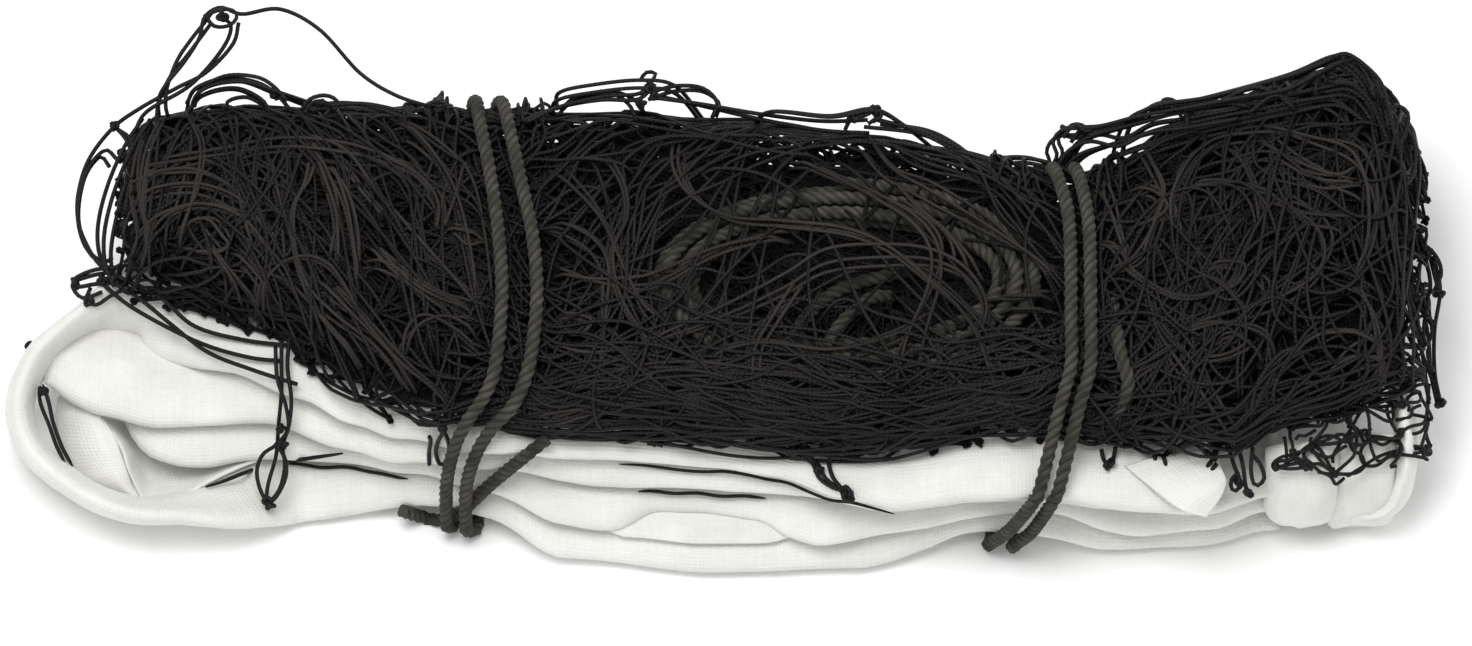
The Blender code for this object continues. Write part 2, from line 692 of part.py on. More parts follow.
def build_open_net(collection):
    """A flat patch of open cells, as bars along the edges of a grid."""
    columns, rows = OPEN_NET_CELLS
    mesh = bpy.data.meshes.new("netting_open_edge")
    body = bmesh.new()
    bmesh.ops.create_grid(body, x_segments=columns, y_segments=rows, size=0.5)
    left, right = OPEN_NET_SPAN
    for corner in body.verts:
        x = left + (right - left) * (corner.co.x + 0.5)
        back = follow(NET_FRONT_MM, x) - TWINE_DIAMETER
        height = shelf_height(x) + TWINE_DIAMETER / 2 + OPEN_NET_LIFT
        corner.co = Vector((x, back - OPEN_NET_DEPTH * (0.5 - corner.co.y), height))
    body.to_mesh(mesh)
    body.free()
    net = add_object("netting_open_edge", mesh, TWINE, collection)
    bars = net.modifiers.new("bars", "WIREFRAME")
    bars.thickness = TWINE_DIAMETER
    bars.use_boundary = True
    bars.use_even_offset = False
    return net


def build_lacing(collection):
    """Twine that lies in the creases between runs of the headband."""
    radius = TWINE_DIAMETER / 2
    for crease, (name, (left, right)) in enumerate(LACING_SPANS_MM.items()):
        places = []
        for step in range(LACING_STEPS + 1):
            x = (left + (right - left) * step / LACING_STEPS) * MM
            y = follow(ROW_FRONTS_MM[crease + 1], x) + LACING_INSET
            z = row_height(crease, x) + SLEEVE_THICKNESS / 2 + radius + CLEARANCE
            places.append(Vector((x, y, z)))
        tube(name, places, TWINE_DIAMETER, TWINE, collection)


def build_ropes(collection):
    """Ties round the bundle, their loose ends and the hank of spare headline."""
    for name, table in (("left_tie", LEFT_TIE_MM), ("right_tie", RIGHT_TIE_MM)):
        route = tie_route(table)
        report_gap(name, route, ROPE_DIAMETER)
        tube(name, route, ROPE_DIAMETER, ROPE, collection)
    coil = coil_route()
    report_gap("headline_coil", coil, ROPE_DIAMETER)
    tube("headline_coil", coil, ROPE_DIAMETER, ROPE, collection)
    for name, line in ROPE_ENDS.items():
        places = [cord_place(place, ROPE_DIAMETER / 2 + 2 * CLEARANCE) for place in line]
        route = smooth_route(places, 2 * ROPE_DIAMETER)
        tube(name, route, ROPE_DIAMETER, ROPE, collection, roundness=2)


def main():
    """Build every part of the bundle."""
    clear_scene()
    parts = make_collection("volleyball_net_bundle")
    build_headband(parts)
    build_netting(parts)
    build_lacing(parts)
    build_ropes(parts)
    for part in parts.objects:
        part.location = ORIGIN_SHIFT


main()
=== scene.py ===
"""A volleyball net, taken down, folded and tied with rope: the visual model round its frame."""

import logging
import math
from dataclasses import dataclass, field
from enum import Enum
from typing import NamedTuple

import bpy
import numpy as np
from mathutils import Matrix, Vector, noise
from mathutils.geometry import convex_hull_2d, intersect_point_line


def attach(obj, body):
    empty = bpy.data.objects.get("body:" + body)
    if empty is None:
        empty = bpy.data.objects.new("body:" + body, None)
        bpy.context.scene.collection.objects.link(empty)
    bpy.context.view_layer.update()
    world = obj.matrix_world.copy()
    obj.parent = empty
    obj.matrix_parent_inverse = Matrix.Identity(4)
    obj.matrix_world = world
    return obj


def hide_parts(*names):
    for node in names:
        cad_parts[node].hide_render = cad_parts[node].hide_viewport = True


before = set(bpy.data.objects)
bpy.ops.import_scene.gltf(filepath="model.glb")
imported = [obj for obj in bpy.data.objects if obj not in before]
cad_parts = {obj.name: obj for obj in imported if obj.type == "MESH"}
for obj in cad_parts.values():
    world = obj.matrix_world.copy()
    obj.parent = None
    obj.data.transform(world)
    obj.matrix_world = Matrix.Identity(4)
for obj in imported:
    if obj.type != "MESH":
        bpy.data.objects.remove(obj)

MM = 0.001
BODY = "root"
SEED = 20
# Nothing reaches lower than this over the floor
FLOOR_GAP = 0.0001
TINY = 1e-9

log = logging.getLogger("volleyball_net")

Place = tuple[float, ...]
Table = tuple[tuple[float, float], ...]
Station = tuple[Vector, Vector, Vector]
Facts = dict[str, np.ndarray]


class Swept(NamedTuple):
    """A mesh as arrays: vertices, faces of four, their corners' UV pairs and larger end faces."""

    points: np.ndarray
    quads: np.ndarray
    uvs: np.ndarray
    caps: list[list[int]]


class Slot(Enum):
    """Material slots of the part's record."""

    CANVAS = "canvas"
    TWINE = "twine"
    ROPE = "rope"


class Stretch(Enum):
    """The three stretches of netting that the ties make, as (left x, right x) in metres."""

    LEFT = (-0.300, -0.0993)
    MIDDLE = (-0.0993, 0.1367)
    RIGHT = (0.1367, 0.300)


Laid = dict[Stretch, list[np.ndarray]]


class Wall(Enum):
    """The upright faces of the netting under its crown, with the side that each looks to."""

    BACK = 0
    LEFT_END = -1
    RIGHT_END = 1


class Strands(Enum):
    """How a cord's strands are shown, as the direction of the wave that shades them."""

    DRAWN = "DIAGONAL"
    FORMED = "Y"


def linear(colour: str) -> tuple[float, float, float, float]:
    """Turn an sRGB hex colour into the linear colour that shaders take.

    Args:
        colour: Six hex digits after a hash.

    Returns:
        Linear red, green and blue, and an alpha of 1.
    """
    parts = [int(colour[i:i + 2], 16) / 255 for i in (1, 3, 5)]
    made = [c / 12.92 if c <= 0.04045 else ((c + 0.055) / 1.055) ** 2.4 for c in parts]
    return (made[0], made[1], made[2], 1.0)


def add_node(tree: bpy.types.NodeTree, kind: str, settings: dict | None = None,
             links: dict | None = None) -> bpy.types.Node:
    """Add one node with its settings and links.

    Args:
        tree: Node tree that gets the node.
        kind: Blender's name of the node type.
        settings: Values by socket name, socket number or property name.
        links: Output sockets by the name or number of the input that they feed.

    Returns:
        The new node.
    """
    node = tree.nodes.new(kind)
    for key, value in (settings or {}).items():
        if isinstance(key, int) or key in node.inputs:
            node.inputs[key].default_value = value
        else:
            setattr(node, key, value)
    for key, socket in (links or {}).items():
        tree.links.new(socket, node.inputs[key])
    return node


def new_material(name: str) -> tuple[bpy.types.Material, bpy.types.NodeTree]:
    """Make a material with only a Principled shader, and return it with its tree.

    Args:
        name: Name of the material.

    Returns:
        The material and its node tree.
    """
    material = bpy.data.materials.new(name)
    material.use_nodes = True
    return material, material.node_tree


def feed_shader(tree: bpy.types.NodeTree, share: bpy.types.NodeSocket, colours: tuple[str, str],
                height: bpy.types.Node | None = None, relief: tuple[float, float] = (1.0, 0.001),
                **numbers: float) -> None:
    """Give a material's Principled shader its colour, its relief and its plain numbers.

    Args:
        tree: The material's tree.
        share: Socket that mixes the two colours.
        colours: Colour at 0 and at 1, as sRGB hex.
        height: Math node that gives the height of the surface.
        relief: Strength and distance, in metres, of the bump made of it.
        numbers: Values of the shader's sockets, with _ for a space in their names.
    """
    shader = tree.nodes["Principled BSDF"]
    if height is not None:
        bump = add_node(tree, "ShaderNodeBump", {"Strength": relief[0], "Distance": relief[1]},
                        {"Height": height.outputs[0]})
        tree.links.new(bump.outputs["Normal"], shader.inputs["Normal"])
    colour = add_node(tree, "ShaderNodeMix",
                      {"data_type": "RGBA", 6: linear(colours[0]), 7: linear(colours[1])},
                      {0: share})
    tree.links.new(colour.outputs[2], shader.inputs["Base Color"])
    for name, number in numbers.items():
        shader.inputs[name.replace("_", " ")].default_value = number


@dataclass(frozen=True)
class CanvasFinish:
    """Bleached cotton canvas, plain woven: matt, with slubs that catch the light."""

    name: str = "woven_cotton_canvas"
    light: str = "#E6E6E2"
    shade: str = "#D2D1CC"
    ior: float = 1.47
    roughness: float = 0.88
    sheen: float = 0.25
    # Real threads lie 0.6 mm apart, which is too fine to show: they are drawn 1.5 mm apart
    thread_mm: float = 1.5
    slub_mm: float = 16.0
    relief: float = 0.00020

    def make(self) -> bpy.types.Material:
        """Build the material; its UV map is in millimetres of cloth."""
        material, tree = new_material(self.name)
        cloth = add_node(tree, "ShaderNodeUVMap", {"uv_map": "UVMap"}).outputs["UV"]
        scale = 2 * math.pi / (20 * self.thread_mm)
        long_way, short_way = 1 / self.slub_mm, 1 / self.thread_mm
        threads, slub_rows = {}, {}
        for number, (bands, stretch) in enumerate((("X", (long_way, short_way, 1.0)),
                                                   ("Y", (short_way, long_way, 1.0)))):
            wave = add_node(tree, "ShaderNodeTexWave",
                            {"bands_direction": bands, "Scale": scale, "Distortion": 0.6,
                             "Detail": 1.0, "Detail Scale": 0.4}, {"Vector": cloth})
            drawn = add_node(tree, "ShaderNodeMapping", {"Scale": stretch}, {"Vector": cloth})
            slub = add_node(tree, "ShaderNodeTexNoise", {"Scale": 1.0, "Detail": 2.0},
                            {"Vector": drawn.outputs["Vector"]})
            threads[number], slub_rows[number] = wave.outputs["Fac"], slub.outputs["Fac"]
        weave = add_node(tree, "ShaderNodeMath", {"operation": "MULTIPLY"}, threads)
        slubs = add_node(tree, "ShaderNodeMath", {"operation": "ADD"}, slub_rows)
        height = add_node(tree, "ShaderNodeMath", {"operation": "MULTIPLY_ADD", 1: 0.9},
                          {0: slubs.outputs[0], 2: weave.outputs[0]})
        soil = add_node(tree, "ShaderNodeTexNoise", {"Scale": 0.03, "Detail": 4.0},
                        {"Vector": cloth})
        fleck = add_node(tree, "ShaderNodeMath", {"operation": "MULTIPLY_ADD", 1: 0.35},
                         {0: slubs.outputs[0], 2: soil.outputs["Fac"]})
        share = add_node(tree, "ShaderNodeMapRange", {"From Min": 0.55, "From Max": 1.15},
                         {"Value": fleck.outputs[0]})
        feed_shader(tree, share.outputs["Result"], (self.shade, self.light), height,
                    (0.8, self.relief), Roughness=self.roughness, IOR=self.ior,
                    Sheen_Weight=self.sheen)
        return material


@dataclass(frozen=True)
class CordFinish:
    """Twisted cord: three strands laid round each other, with the fibres' fine lines on them and
    painted shade in the grooves between the strands.
    """

    name: str
    light: str
    dark: str
    roughness: float
    sheen: float
    relief: float
    blotch_mm: float
    ior: float = 1.5
    strands: int = 3
    specular: float = 0.5
    shown: Strands = Strands.DRAWN
    # Share of the colour left at the bottom of the grooves between strands: painted shade
    painted_groove_shade: float = 0.35

    def make(self) -> bpy.types.Material:
        """Build the material; its UV map counts lays along the cord and turns round it."""
        material, tree = new_material(self.name)
        turns = add_node(tree, "ShaderNodeUVMap", {"uv_map": "UVMap"}).outputs["UV"]
        periods = 10 if self.shown is Strands.DRAWN else 20
        lay = add_node(tree, "ShaderNodeTexWave",
                       {"bands_direction": self.shown.value, "Phase Offset": math.pi,
                        "Scale": 2 * math.pi * self.strands / periods, "Distortion": 0.2,
                        "Detail": 1.0}, {"Vector": turns})
        across = add_node(tree, "ShaderNodeMapping", {"Scale": (2.0, -26.0, 1.0)},
                          {"Vector": turns})
        fibres = add_node(tree, "ShaderNodeTexNoise", {"Scale": 1.0, "Detail": 3.0},
                          {"Vector": across.outputs["Vector"]})
        height = add_node(tree, "ShaderNodeMath", {"operation": "MULTIPLY_ADD", 1: 0.6},
                          {0: fibres.outputs["Fac"], 2: lay.outputs["Fac"]})
        place = add_node(tree, "ShaderNodeTexCoord").outputs["Object"]
        blotches = add_node(tree, "ShaderNodeTexNoise",
                            {"Scale": 1000 / self.blotch_mm, "Detail": 3.0}, {"Vector": place})
        both = add_node(tree, "ShaderNodeMath", {"operation": "MULTIPLY_ADD", 1: 0.5},
                        {0: fibres.outputs["Fac"], 2: blotches.outputs["Fac"]})
        share = add_node(tree, "ShaderNodeMapRange", {"From Min": 0.50, "From Max": 0.95},
                         {"Value": both.outputs[0]})
        # Colour darkened in the grooves between the strands: painted shade
        groove_shade = add_node(tree, "ShaderNodeMapRange", {"From Max": 0.6, "To Min": self.painted_groove_shade},
                            {"Value": lay.outputs["Fac"]})
        factor = add_node(tree, "ShaderNodeMath", {"operation": "MULTIPLY"},
                          {0: share.outputs["Result"], 1: groove_shade.outputs["Result"]})
        feed_shader(tree, factor.outputs[0], (self.dark, self.light), height, (0.9, self.relief),
                    Roughness=self.roughness, IOR=self.ior, Sheen_Weight=self.sheen,
                    Specular_IOR_Level=self.specular)
        return material


# Black polyethylene twine, twisted: a low gloss that picks out the top of every arc
TWINE_FINISH = CordFinish("twisted_polyethylene_twine", "#1D1918", "#08080B", 0.55, 0.0,
                          0.00020, 25.0, specular=0.22)
# The same twine on top of the bundle, in a lighter charcoal copy: painted light on the lit top
# strands
LIT_TOP_TWINE_FINISH = CordFinish("painted_lit_polyethylene_twine", "#36312E", "#1A1817", 0.65, 0.0,
                          0.00020, 40.0, specular=0.20)
# The same twine deeper in the bundle, in a darker copy: painted shade of the tangle's depth
SHADED_DEEP_TWINE_FINISH = CordFinish("painted_shade_polyethylene_twine", "#151213", "#060608", 0.60, 0.0,
                          0.00020, 25.0, specular=0.15)
# Grey-brown polypropylene rope, three strands laid: dull, a little hairy, paler where it is worn,
# with strong painted shade in the grooves between its strands
ROPE_FINISH = CordFinish("laid_polypropylene_rope", "#4C4A42", "#22211D", 0.75, 0.05,
                         0.00025, 9.0, specular=0.22, shown=Strands.FORMED, painted_groove_shade=0.12)


@dataclass(frozen=True)
class PackedTwineFinish:
    """Twine of the deeper layers, pressed together: all but black, with strands in relief, painted
    darker than the twine itself as shade of the depth and darker still between the raised strands.
    """

    name: str = "packed_twine_painted_shade"
    # Both tones lie below the twine's own colour: painted shade of the depth
    light: str = "#100E0F"
    dark: str = "#040405"
    ior: float = 1.5
    roughness: float = 0.75
    specular: float = 0.15
    strand_mm: float = 2.4
    relief: float = 0.0016

    def make(self) -> bpy.types.Material:
        """Build the material, in the object's own space."""
        material, tree = new_material(self.name)
        place = add_node(tree, "ShaderNodeTexCoord").outputs["Object"]
        stir = add_node(tree, "ShaderNodeTexNoise", {"Scale": 22.0, "Detail": 1.0},
                        {"Vector": place})
        bent = add_node(tree, "ShaderNodeVectorMath",
                        {"operation": "MULTIPLY_ADD", 1: (0.05, 0.05, 0.05)},
                        {0: stir.outputs["Color"], 2: place})
        scale = 2 * math.pi / (20 * self.strand_mm * MM)
        waves = []
        for turn in (0.5, 1.9, 2.8):
            turned = add_node(tree, "ShaderNodeMapping", {"Rotation": (0.4, turn / 3, turn)},
                              {"Vector": bent.outputs["Vector"]})
            waves.append(add_node(tree, "ShaderNodeTexWave",
                                  {"Scale": scale, "Distortion": 5.0, "Detail": 1.0,
                                   "Detail Scale": 0.6}, {"Vector": turned.outputs["Vector"]}))
        upper = add_node(tree, "ShaderNodeMath", {"operation": "MAXIMUM"},
                         {0: waves[0].outputs["Fac"], 1: waves[1].outputs["Fac"]})
        height = add_node(tree, "ShaderNodeMath", {"operation": "MAXIMUM"},
                          {0: upper.outputs[0], 1: waves[2].outputs["Fac"]})
        # Raised strands lighter, the gaps between them darker: painted shade
        share = add_node(tree, "ShaderNodeMapRange", {"From Min": 0.55, "From Max": 1.0},
                         {"Value": height.outputs[0]})
        feed_shader(tree, share.outputs["Result"], (self.dark, self.light), height,
                    (1.0, self.relief), Roughness=self.roughness, IOR=self.ior,
                    Specular_IOR_Level=self.specular)
        return material


@dataclass(frozen=True)
class PaperFinish:
    """Matt white background paper: no grain that shows, only a faint unevenness."""

    name: str = "matt_background_paper"
    light: str = "#FFFFFF"
    shade: str = "#FBFBFB"
    roughness: float = 0.95

    def make(self) -> bpy.types.Material:
        """Build the material of the floor."""
        material, tree = new_material(self.name)
        place = add_node(tree, "ShaderNodeTexCoord").outputs["Object"]
        mottle = add_node(tree, "ShaderNodeTexNoise", {"Scale": 3.0}, {"Vector": place})
        feed_shader(tree, mottle.outputs["Fac"], (self.shade, self.light), Roughness=self.roughness)
        return material


def follow(table_mm: Table, x: float) -> float:
    """Value in metres at x of a table in mm, easing from each entry to the next.

    Args:
        table_mm: Pairs of (x, value) in mm.
        x: Place in metres.

    Returns:
        The value there, in metres.
    """
    x_mm = x / MM
    if x_mm <= table_mm[0][0]:
        return table_mm[0][1] * MM
    for (x0, v0), (x1, v1) in zip(table_mm, table_mm[1:]):
        if x_mm <= x1:
            t = (x_mm - x0) / (x1 - x0)
            return (v0 + (v1 - v0) * t * t * (3 - 2 * t)) * MM
    return table_mm[-1][1] * MM


def eased(share: np.ndarray) -> np.ndarray:
    """Shares held between 0 and 1, easing at both ends."""
    held = np.clip(share, 0, 1)
    return held * held * (3 - 2 * held)


def normalised(vectors: np.ndarray) -> np.ndarray:
    """Vectors of length 1, along the last axis."""
    return vectors / np.maximum(np.linalg.norm(vectors, axis=-1, keepdims=True), TINY)


def running(lengths: np.ndarray) -> np.ndarray:
    """Distance from the start to each point of a line, of the lengths of its steps."""
    return np.concatenate([[0.0], np.cumsum(lengths)])


def heading(places: list[Vector], index: int) -> Vector:
    """Direction of a line of places at one of them, from the one before to the one after."""
    return (places[min(index + 1, len(places) - 1)] - places[max(index - 1, 0)]).normalized()


def fitted(values: np.ndarray, low: float, high: float, middle: float | None = None) -> np.ndarray:
    """Values moved, and narrowed if they must be, until they lie between two limits.

    Args:
        values: The values.
        low: Lower limit.
        high: Upper limit.
        middle: Mean that they get first, if any.

    Returns:
        The new values.
    """
    size = values.max() - values.min()
    if size > high - low:
        values = values * ((high - low) / size)
    if middle is not None:
        values = values + (middle - values.mean())
    return values + (max(0.0, low - values.min()) - max(0.0, values.max() - high))


def knot_shape(count: int, depth: float) -> np.ndarray:
    """Points of one closed winding of a tied knot, with its depth as a factor."""
    t = np.linspace(0, 2 * math.pi, count)
    return np.stack([np.sin(t) + 2 * np.sin(2 * t), np.cos(t) - 2 * np.cos(2 * t),
                     -depth * np.sin(3 * t)], axis=-1)


def curve_through(points: np.ndarray, pieces: int) -> np.ndarray:
    """Smooth points on the curves through rows of given ones.

    Args:
        points: Rows of points, as (rows, points, dimensions).
        pieces: Steps made of each stretch between two given points.

    Returns:
        The finer rows, which keep every given point.
    """
    before = np.concatenate([2 * points[:, :1] - points[:, 1:2], points[:, :-1]], axis=1)[:, :-1]
    after = np.concatenate([points[:, 1:], 2 * points[:, -1:] - points[:, -2:-1]], axis=1)[:, 1:]
    near, far = points[:, :-1], points[:, 1:]
    fine = []
    for step in range(pieces):
        t = step / pieces
        fine.append(0.5 * (2 * near + (far - before) * t
                           + (2 * before - 5 * near + 4 * far - after) * t * t
                           + (3 * near - before - 3 * far + after) * t ** 3))
    made = np.stack(fine, axis=2).reshape(points.shape[0], -1, points.shape[2])
    return np.concatenate([made, points[:, -1:]], axis=1)


def evenly(points: np.ndarray, spacing: float) -> np.ndarray:
    """Points of one line a spacing apart, along a smooth curve through the given ones.

    Args:
        points: The given points, whose first three values are the place.
        spacing: Distance between the new points.

    Returns:
        The new points.
    """
    fine = curve_through(points[None], 12)[0]
    along = running(np.linalg.norm(np.diff(fine[:, :3], axis=0), axis=1))
    count = max(3, round(along[-1] / spacing) + 1)
    wanted = np.linspace(0, along[-1], count)
    return np.stack([np.interp(wanted, along, fine[:, k]) for k in range(fine.shape[1])], axis=1)


def frames_along(lines: np.ndarray) -> tuple[np.ndarray, np.ndarray, np.ndarray]:
    """Directions along rows of points, and two that are square to them and don't twist.

    Args:
        lines: Rows of points, as (rows, points, 3).

    Returns:
        Ahead, side and up at each point.
    """
    ahead = normalised(np.gradient(lines, axis=1))
    side = np.zeros_like(ahead)
    # Any direction will do that no line runs along
    side[:, 0] = normalised(np.cross(ahead[:, 0], np.array([0.31, 0.21, 0.93])))
    for step in range(1, lines.shape[1]):
        turned = side[:, step - 1] - ahead[:, step] * np.sum(
            side[:, step - 1] * ahead[:, step], axis=1, keepdims=True)
        side[:, step] = normalised(turned)
    return ahead, side, np.cross(ahead, side)


def add_mesh(name: str, made: Swept, finish: bpy.types.Material,
             nodes: tuple[str, ...] = ()) -> bpy.types.Object:
    """Make a smooth mesh piece that rides on the bundle.

    Args:
        name: Name of the piece.
        made: Its mesh.
        finish: Its material.
        nodes: CAD nodes that it stands for.

    Returns:
        The new object.
    """
    mesh = bpy.data.meshes.new(name)
    resting = made.points.copy()
    resting[:, 2] = np.maximum(resting[:, 2], FLOOR_GAP)
    mesh.from_pydata(resting.tolist(), [], made.quads.tolist() + made.caps)
    layer = mesh.uv_layers.new(name="UVMap")
    corners = np.zeros((len(mesh.loops), 2))
    flat = made.uvs.reshape(-1, 2)
    corners[:len(flat)] = flat
    layer.data.foreach_set("uv", corners.ravel())
    mesh.shade_smooth()
    mesh.materials.append(finish)
    piece = bpy.data.objects.new(name, mesh)
    bpy.context.scene.collection.objects.link(piece)
    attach(piece, BODY)
    if nodes:
        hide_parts(*nodes)
    log.info("%s: %d faces of %s", name, len(mesh.polygons), finish.name)
    return piece


def sweep(lines: np.ndarray, outline: np.ndarray, lay: float, swell: np.ndarray | None = None,
          twist: float = 0.0) -> Swept:
    """Sweep an outline along rows of points.

    Args:
        lines: Rows of points, as (rows, points, 3).
        outline: Distances of the section's corners from the centre, evenly spaced round it.
        lay: Length of one turn of the strands, for the UV map.
        swell: Factor on the section at each point, as (rows, points).
        twist: Turns of the section for each metre of the line.

    Returns:
        The swept mesh.
    """
    rows, count = lines.shape[:2]
    sides = len(outline)
    _, side, up = frames_along(lines)
    steps = np.linalg.norm(np.diff(lines, axis=1), axis=2)
    along = np.concatenate([np.zeros((rows, 1)), np.cumsum(steps, axis=1)], axis=1)
    angles = (np.arange(sides) / sides)[None, None, :] + along[:, :, None] * twist
    size = outline[None, None, :] * (1.0 if swell is None else swell[:, :, None])
    ring = (lines[:, :, None, :]
            + side[:, :, None, :] * (np.cos(2 * math.pi * angles) * size)[..., None]
            + up[:, :, None, :] * (np.sin(2 * math.pi * angles) * size)[..., None])
    index = np.arange(rows * count * sides).reshape(rows, count, sides)
    after = np.roll(index, -1, axis=2)
    quads = np.stack([index[:, :-1], after[:, :-1], after[:, 1:], index[:, 1:]],
                     axis=-1).reshape(-1, 4)
    u = np.broadcast_to((along / lay)[:, :, None], (rows, count, sides))
    v = np.broadcast_to((np.arange(sides) / sides)[None, None, :], (rows, count, sides))
    v_after = v + 1 / sides
    uv = np.stack([np.stack([u[:, :-1], v[:, :-1]], -1), np.stack([u[:, :-1], v_after[:, :-1]], -1),
                   np.stack([u[:, 1:], v_after[:, 1:]], -1), np.stack([u[:, 1:], v[:, 1:]], -1)],
                  axis=-2).reshape(-1, 4, 2)
    caps = [index[r, 0, ::-1].tolist() for r in range(rows)]
    caps += [index[r, -1].tolist() for r in range(rows)]
    return Swept(ring.reshape(-1, 3), quads, uv, caps)


def joined(parts: list[Swept]) -> Swept:
    """Join meshes so that they make one.

    Args:
        parts: The meshes.

    Returns:
        One mesh of them all.
    """
    quads, caps, count = [], [], 0
    for made in parts:
        quads.append(made.quads + count)
        caps += [[corner + count for corner in cap] for cap in made.caps]
        count += len(made.points)
    return Swept(np.concatenate([made.points for made in parts]), np.concatenate(quads),
                 np.concatenate([made.uvs for made in parts]), caps)


@dataclass(frozen=True)
class Bundle:
    """Form of the tied bundle that every piece is laid on: the sizes that the CAD model has."""

    pixel: float = 0.000417
    picture_middle: tuple[float, float] = (725.0, 338.0)
    elevation: float = math.radians(60)
    middle_height: float = 0.050
    middle_depth: float = -0.012
    shift: Vector = field(default_factory=lambda: Vector((0.0007, -0.0062, 0)))
    clearance: float = 0.0003
    # A cord whose height isn't given sinks from the first height until this gap is left
    cord_start: float = 0.115
    cord_gap: float = 0.0004
    station: float = 0.014
    sleeve_flat: float = 0.050
    sleeve_thickness: float = 0.015
    shelf_clearance: float = 0.0004
    net_top: float = 0.100
    coil_pocket: float = 0.015
    tie_rise_height: float = 0.0072
    tie_rise_reach: float = 0.016
    tie_rise_fade: float = 0.030
    tie_feet: tuple[float, float] = (-0.107, 0.117)
    crown_power: float = 2.6
    crown_steps: int = 14
    ripple: float = 0.0022
    ripple_length: float = 0.060
    net_left: float = -0.254
    net_right: float = 0.294
    net_wall: float = 0.0313
    foot_inset: float = 0.012
    coil_centre: tuple[float, float] = (0.050, -0.010)
    coil_half: tuple[float, float] = (0.080, 0.047)
    rope: float = 0.006
    row_fronts_mm: tuple[Table, ...] = (
        ((-215, -80), (-198, -78), (-135, -71), (-115, -72), (-102, -77), (-69, -93), (-10, -99),
         (52, -98), (110, -84), (156, -89), (198, -87), (226, -80)),
        ((-222, -50), (-190, -54), (-158, -56), (-130, -64), (-102, -73), (-69, -87), (-30, -91),
         (25, -95), (73, -89), (131, -83), (170, -91), (203, -88), (224, -79)),
        ((-279, -31), (-262, -41), (-236, -48), (-190, -46), (-158, -58), (-135, -67), (-102, -72),
         (-37, -76), (25, -79), (73, -88), (140, -87), (198, -89), (214, -85)),
        ((-240, -19), (-209, -29), (-176, -43), (-155, -55), (-135, -64), (-102, -73), (-56, -71),
         (-2, -75), (20, -79), (50, -90), (73, -95), (140, -94), (190, -97), (200, -95)),
    )
    row_spans_mm: Table = ((-186, 224.5), (-196, 219), (-258, 214), (-240, 200))
    net_front_mm: Table = (
        (-254, -1), (-228, -5), (-190, -18), (-155, -52), (-123, -69), (-52, -69), (52, -78),
        (140, -72), (205, -80), (235, -62), (294, -45))
    net_back_mm: Table = (
        (-254, 72), (-235, 80), (-198, 83), (-119, 83), (-52, 81), (0, 78), (52, 72), (100, 60),
        (126, 49), (156, 51), (198, 82), (240, 98), (260, 107), (281, 92), (294, 70))
    drop_mm: Table = (
        (-254, 26), (-238, 6), (-220, 0), (-126, 0), (-110, 5), (-72, 5), (-56, 0), (262, 0),
        (282, 8), (294, 26))

    def seen_at(self, column: float, row: float, height: float) -> Vector:
        """Place at a height over the floor that the photograph shows at a column and row.

        Args:
            column: Column of the photograph.
            row: Row of the photograph.
            height: Height over the floor.

        Returns:
            The place, in the bundle's own frame.
        """
        up = (self.picture_middle[1] - row) * self.pixel
        rise = (height - self.middle_height) * math.cos(self.elevation)
        y = (up - rise) / math.sin(self.elevation) + self.middle_depth
        return Vector(((column - self.picture_middle[0]) * self.pixel, y, height))

    def seen_grid(self, rows: tuple[tuple[Place, ...], ...]) -> np.ndarray:
        """Places of rows of (column, row, height mm), as (rows, places, 3)."""
        return np.array([[self.seen_at(c, r, h * MM) for c, r, h in row] for row in rows])

    def tie_rise(self, x: float) -> float:
        """How far the bundle lifts off the floor over the ropes that pass under it.

        Args:
            x: Place along the bundle.

        Returns:
            The lift.
        """
        start = math.floor(x / self.station)
        lifts = []
        for station in (start, start + 1):
            lift = 0.0
            for foot in self.tie_feet:
                beyond = abs(station * self.station - foot) - self.tie_rise_reach
                t = min(1.0, max(0.0, beyond / self.tie_rise_fade))
                lift = max(lift, self.tie_rise_height * (1 - t * t * (3 - 2 * t)))
            lifts.append(lift)
        return lifts[0] + (lifts[1] - lifts[0]) * (x / self.station - start)

    def sleeve_width(self) -> float:
        """Width of the flat sleeve once it is plumped to its thickness."""
        return self.sleeve_flat - (math.pi / 2 - 1) * self.sleeve_thickness

    def row_height(self, index: int, x: float) -> float:
        """Height of the middle of one run of the headband."""
        return (self.sleeve_thickness / 2 + index * (self.sleeve_thickness + self.clearance)
                + self.tie_rise(x))

    def shelf_height(self, x: float) -> float:
        """Underside of the netting where it lies on the headband."""
        stack = len(self.row_fronts_mm) * (self.sleeve_thickness + self.clearance)
        return stack + self.shelf_clearance + self.tie_rise(x)

    def coil_dip(self, x: float) -> float:
        """Share of the full dip that the netting has at x, under the hank of rope.

        Args:
            x: Place along the bundle.

        Returns:
            The share, from 0 to 1.
        """
        reach = self.coil_half[0] + self.rope
        beyond = (abs(x - self.coil_centre[0]) - reach) / (2 * self.rope)
        t = min(1.0, max(0.0, beyond))
        return 1 - t * t * (3 - 2 * t)

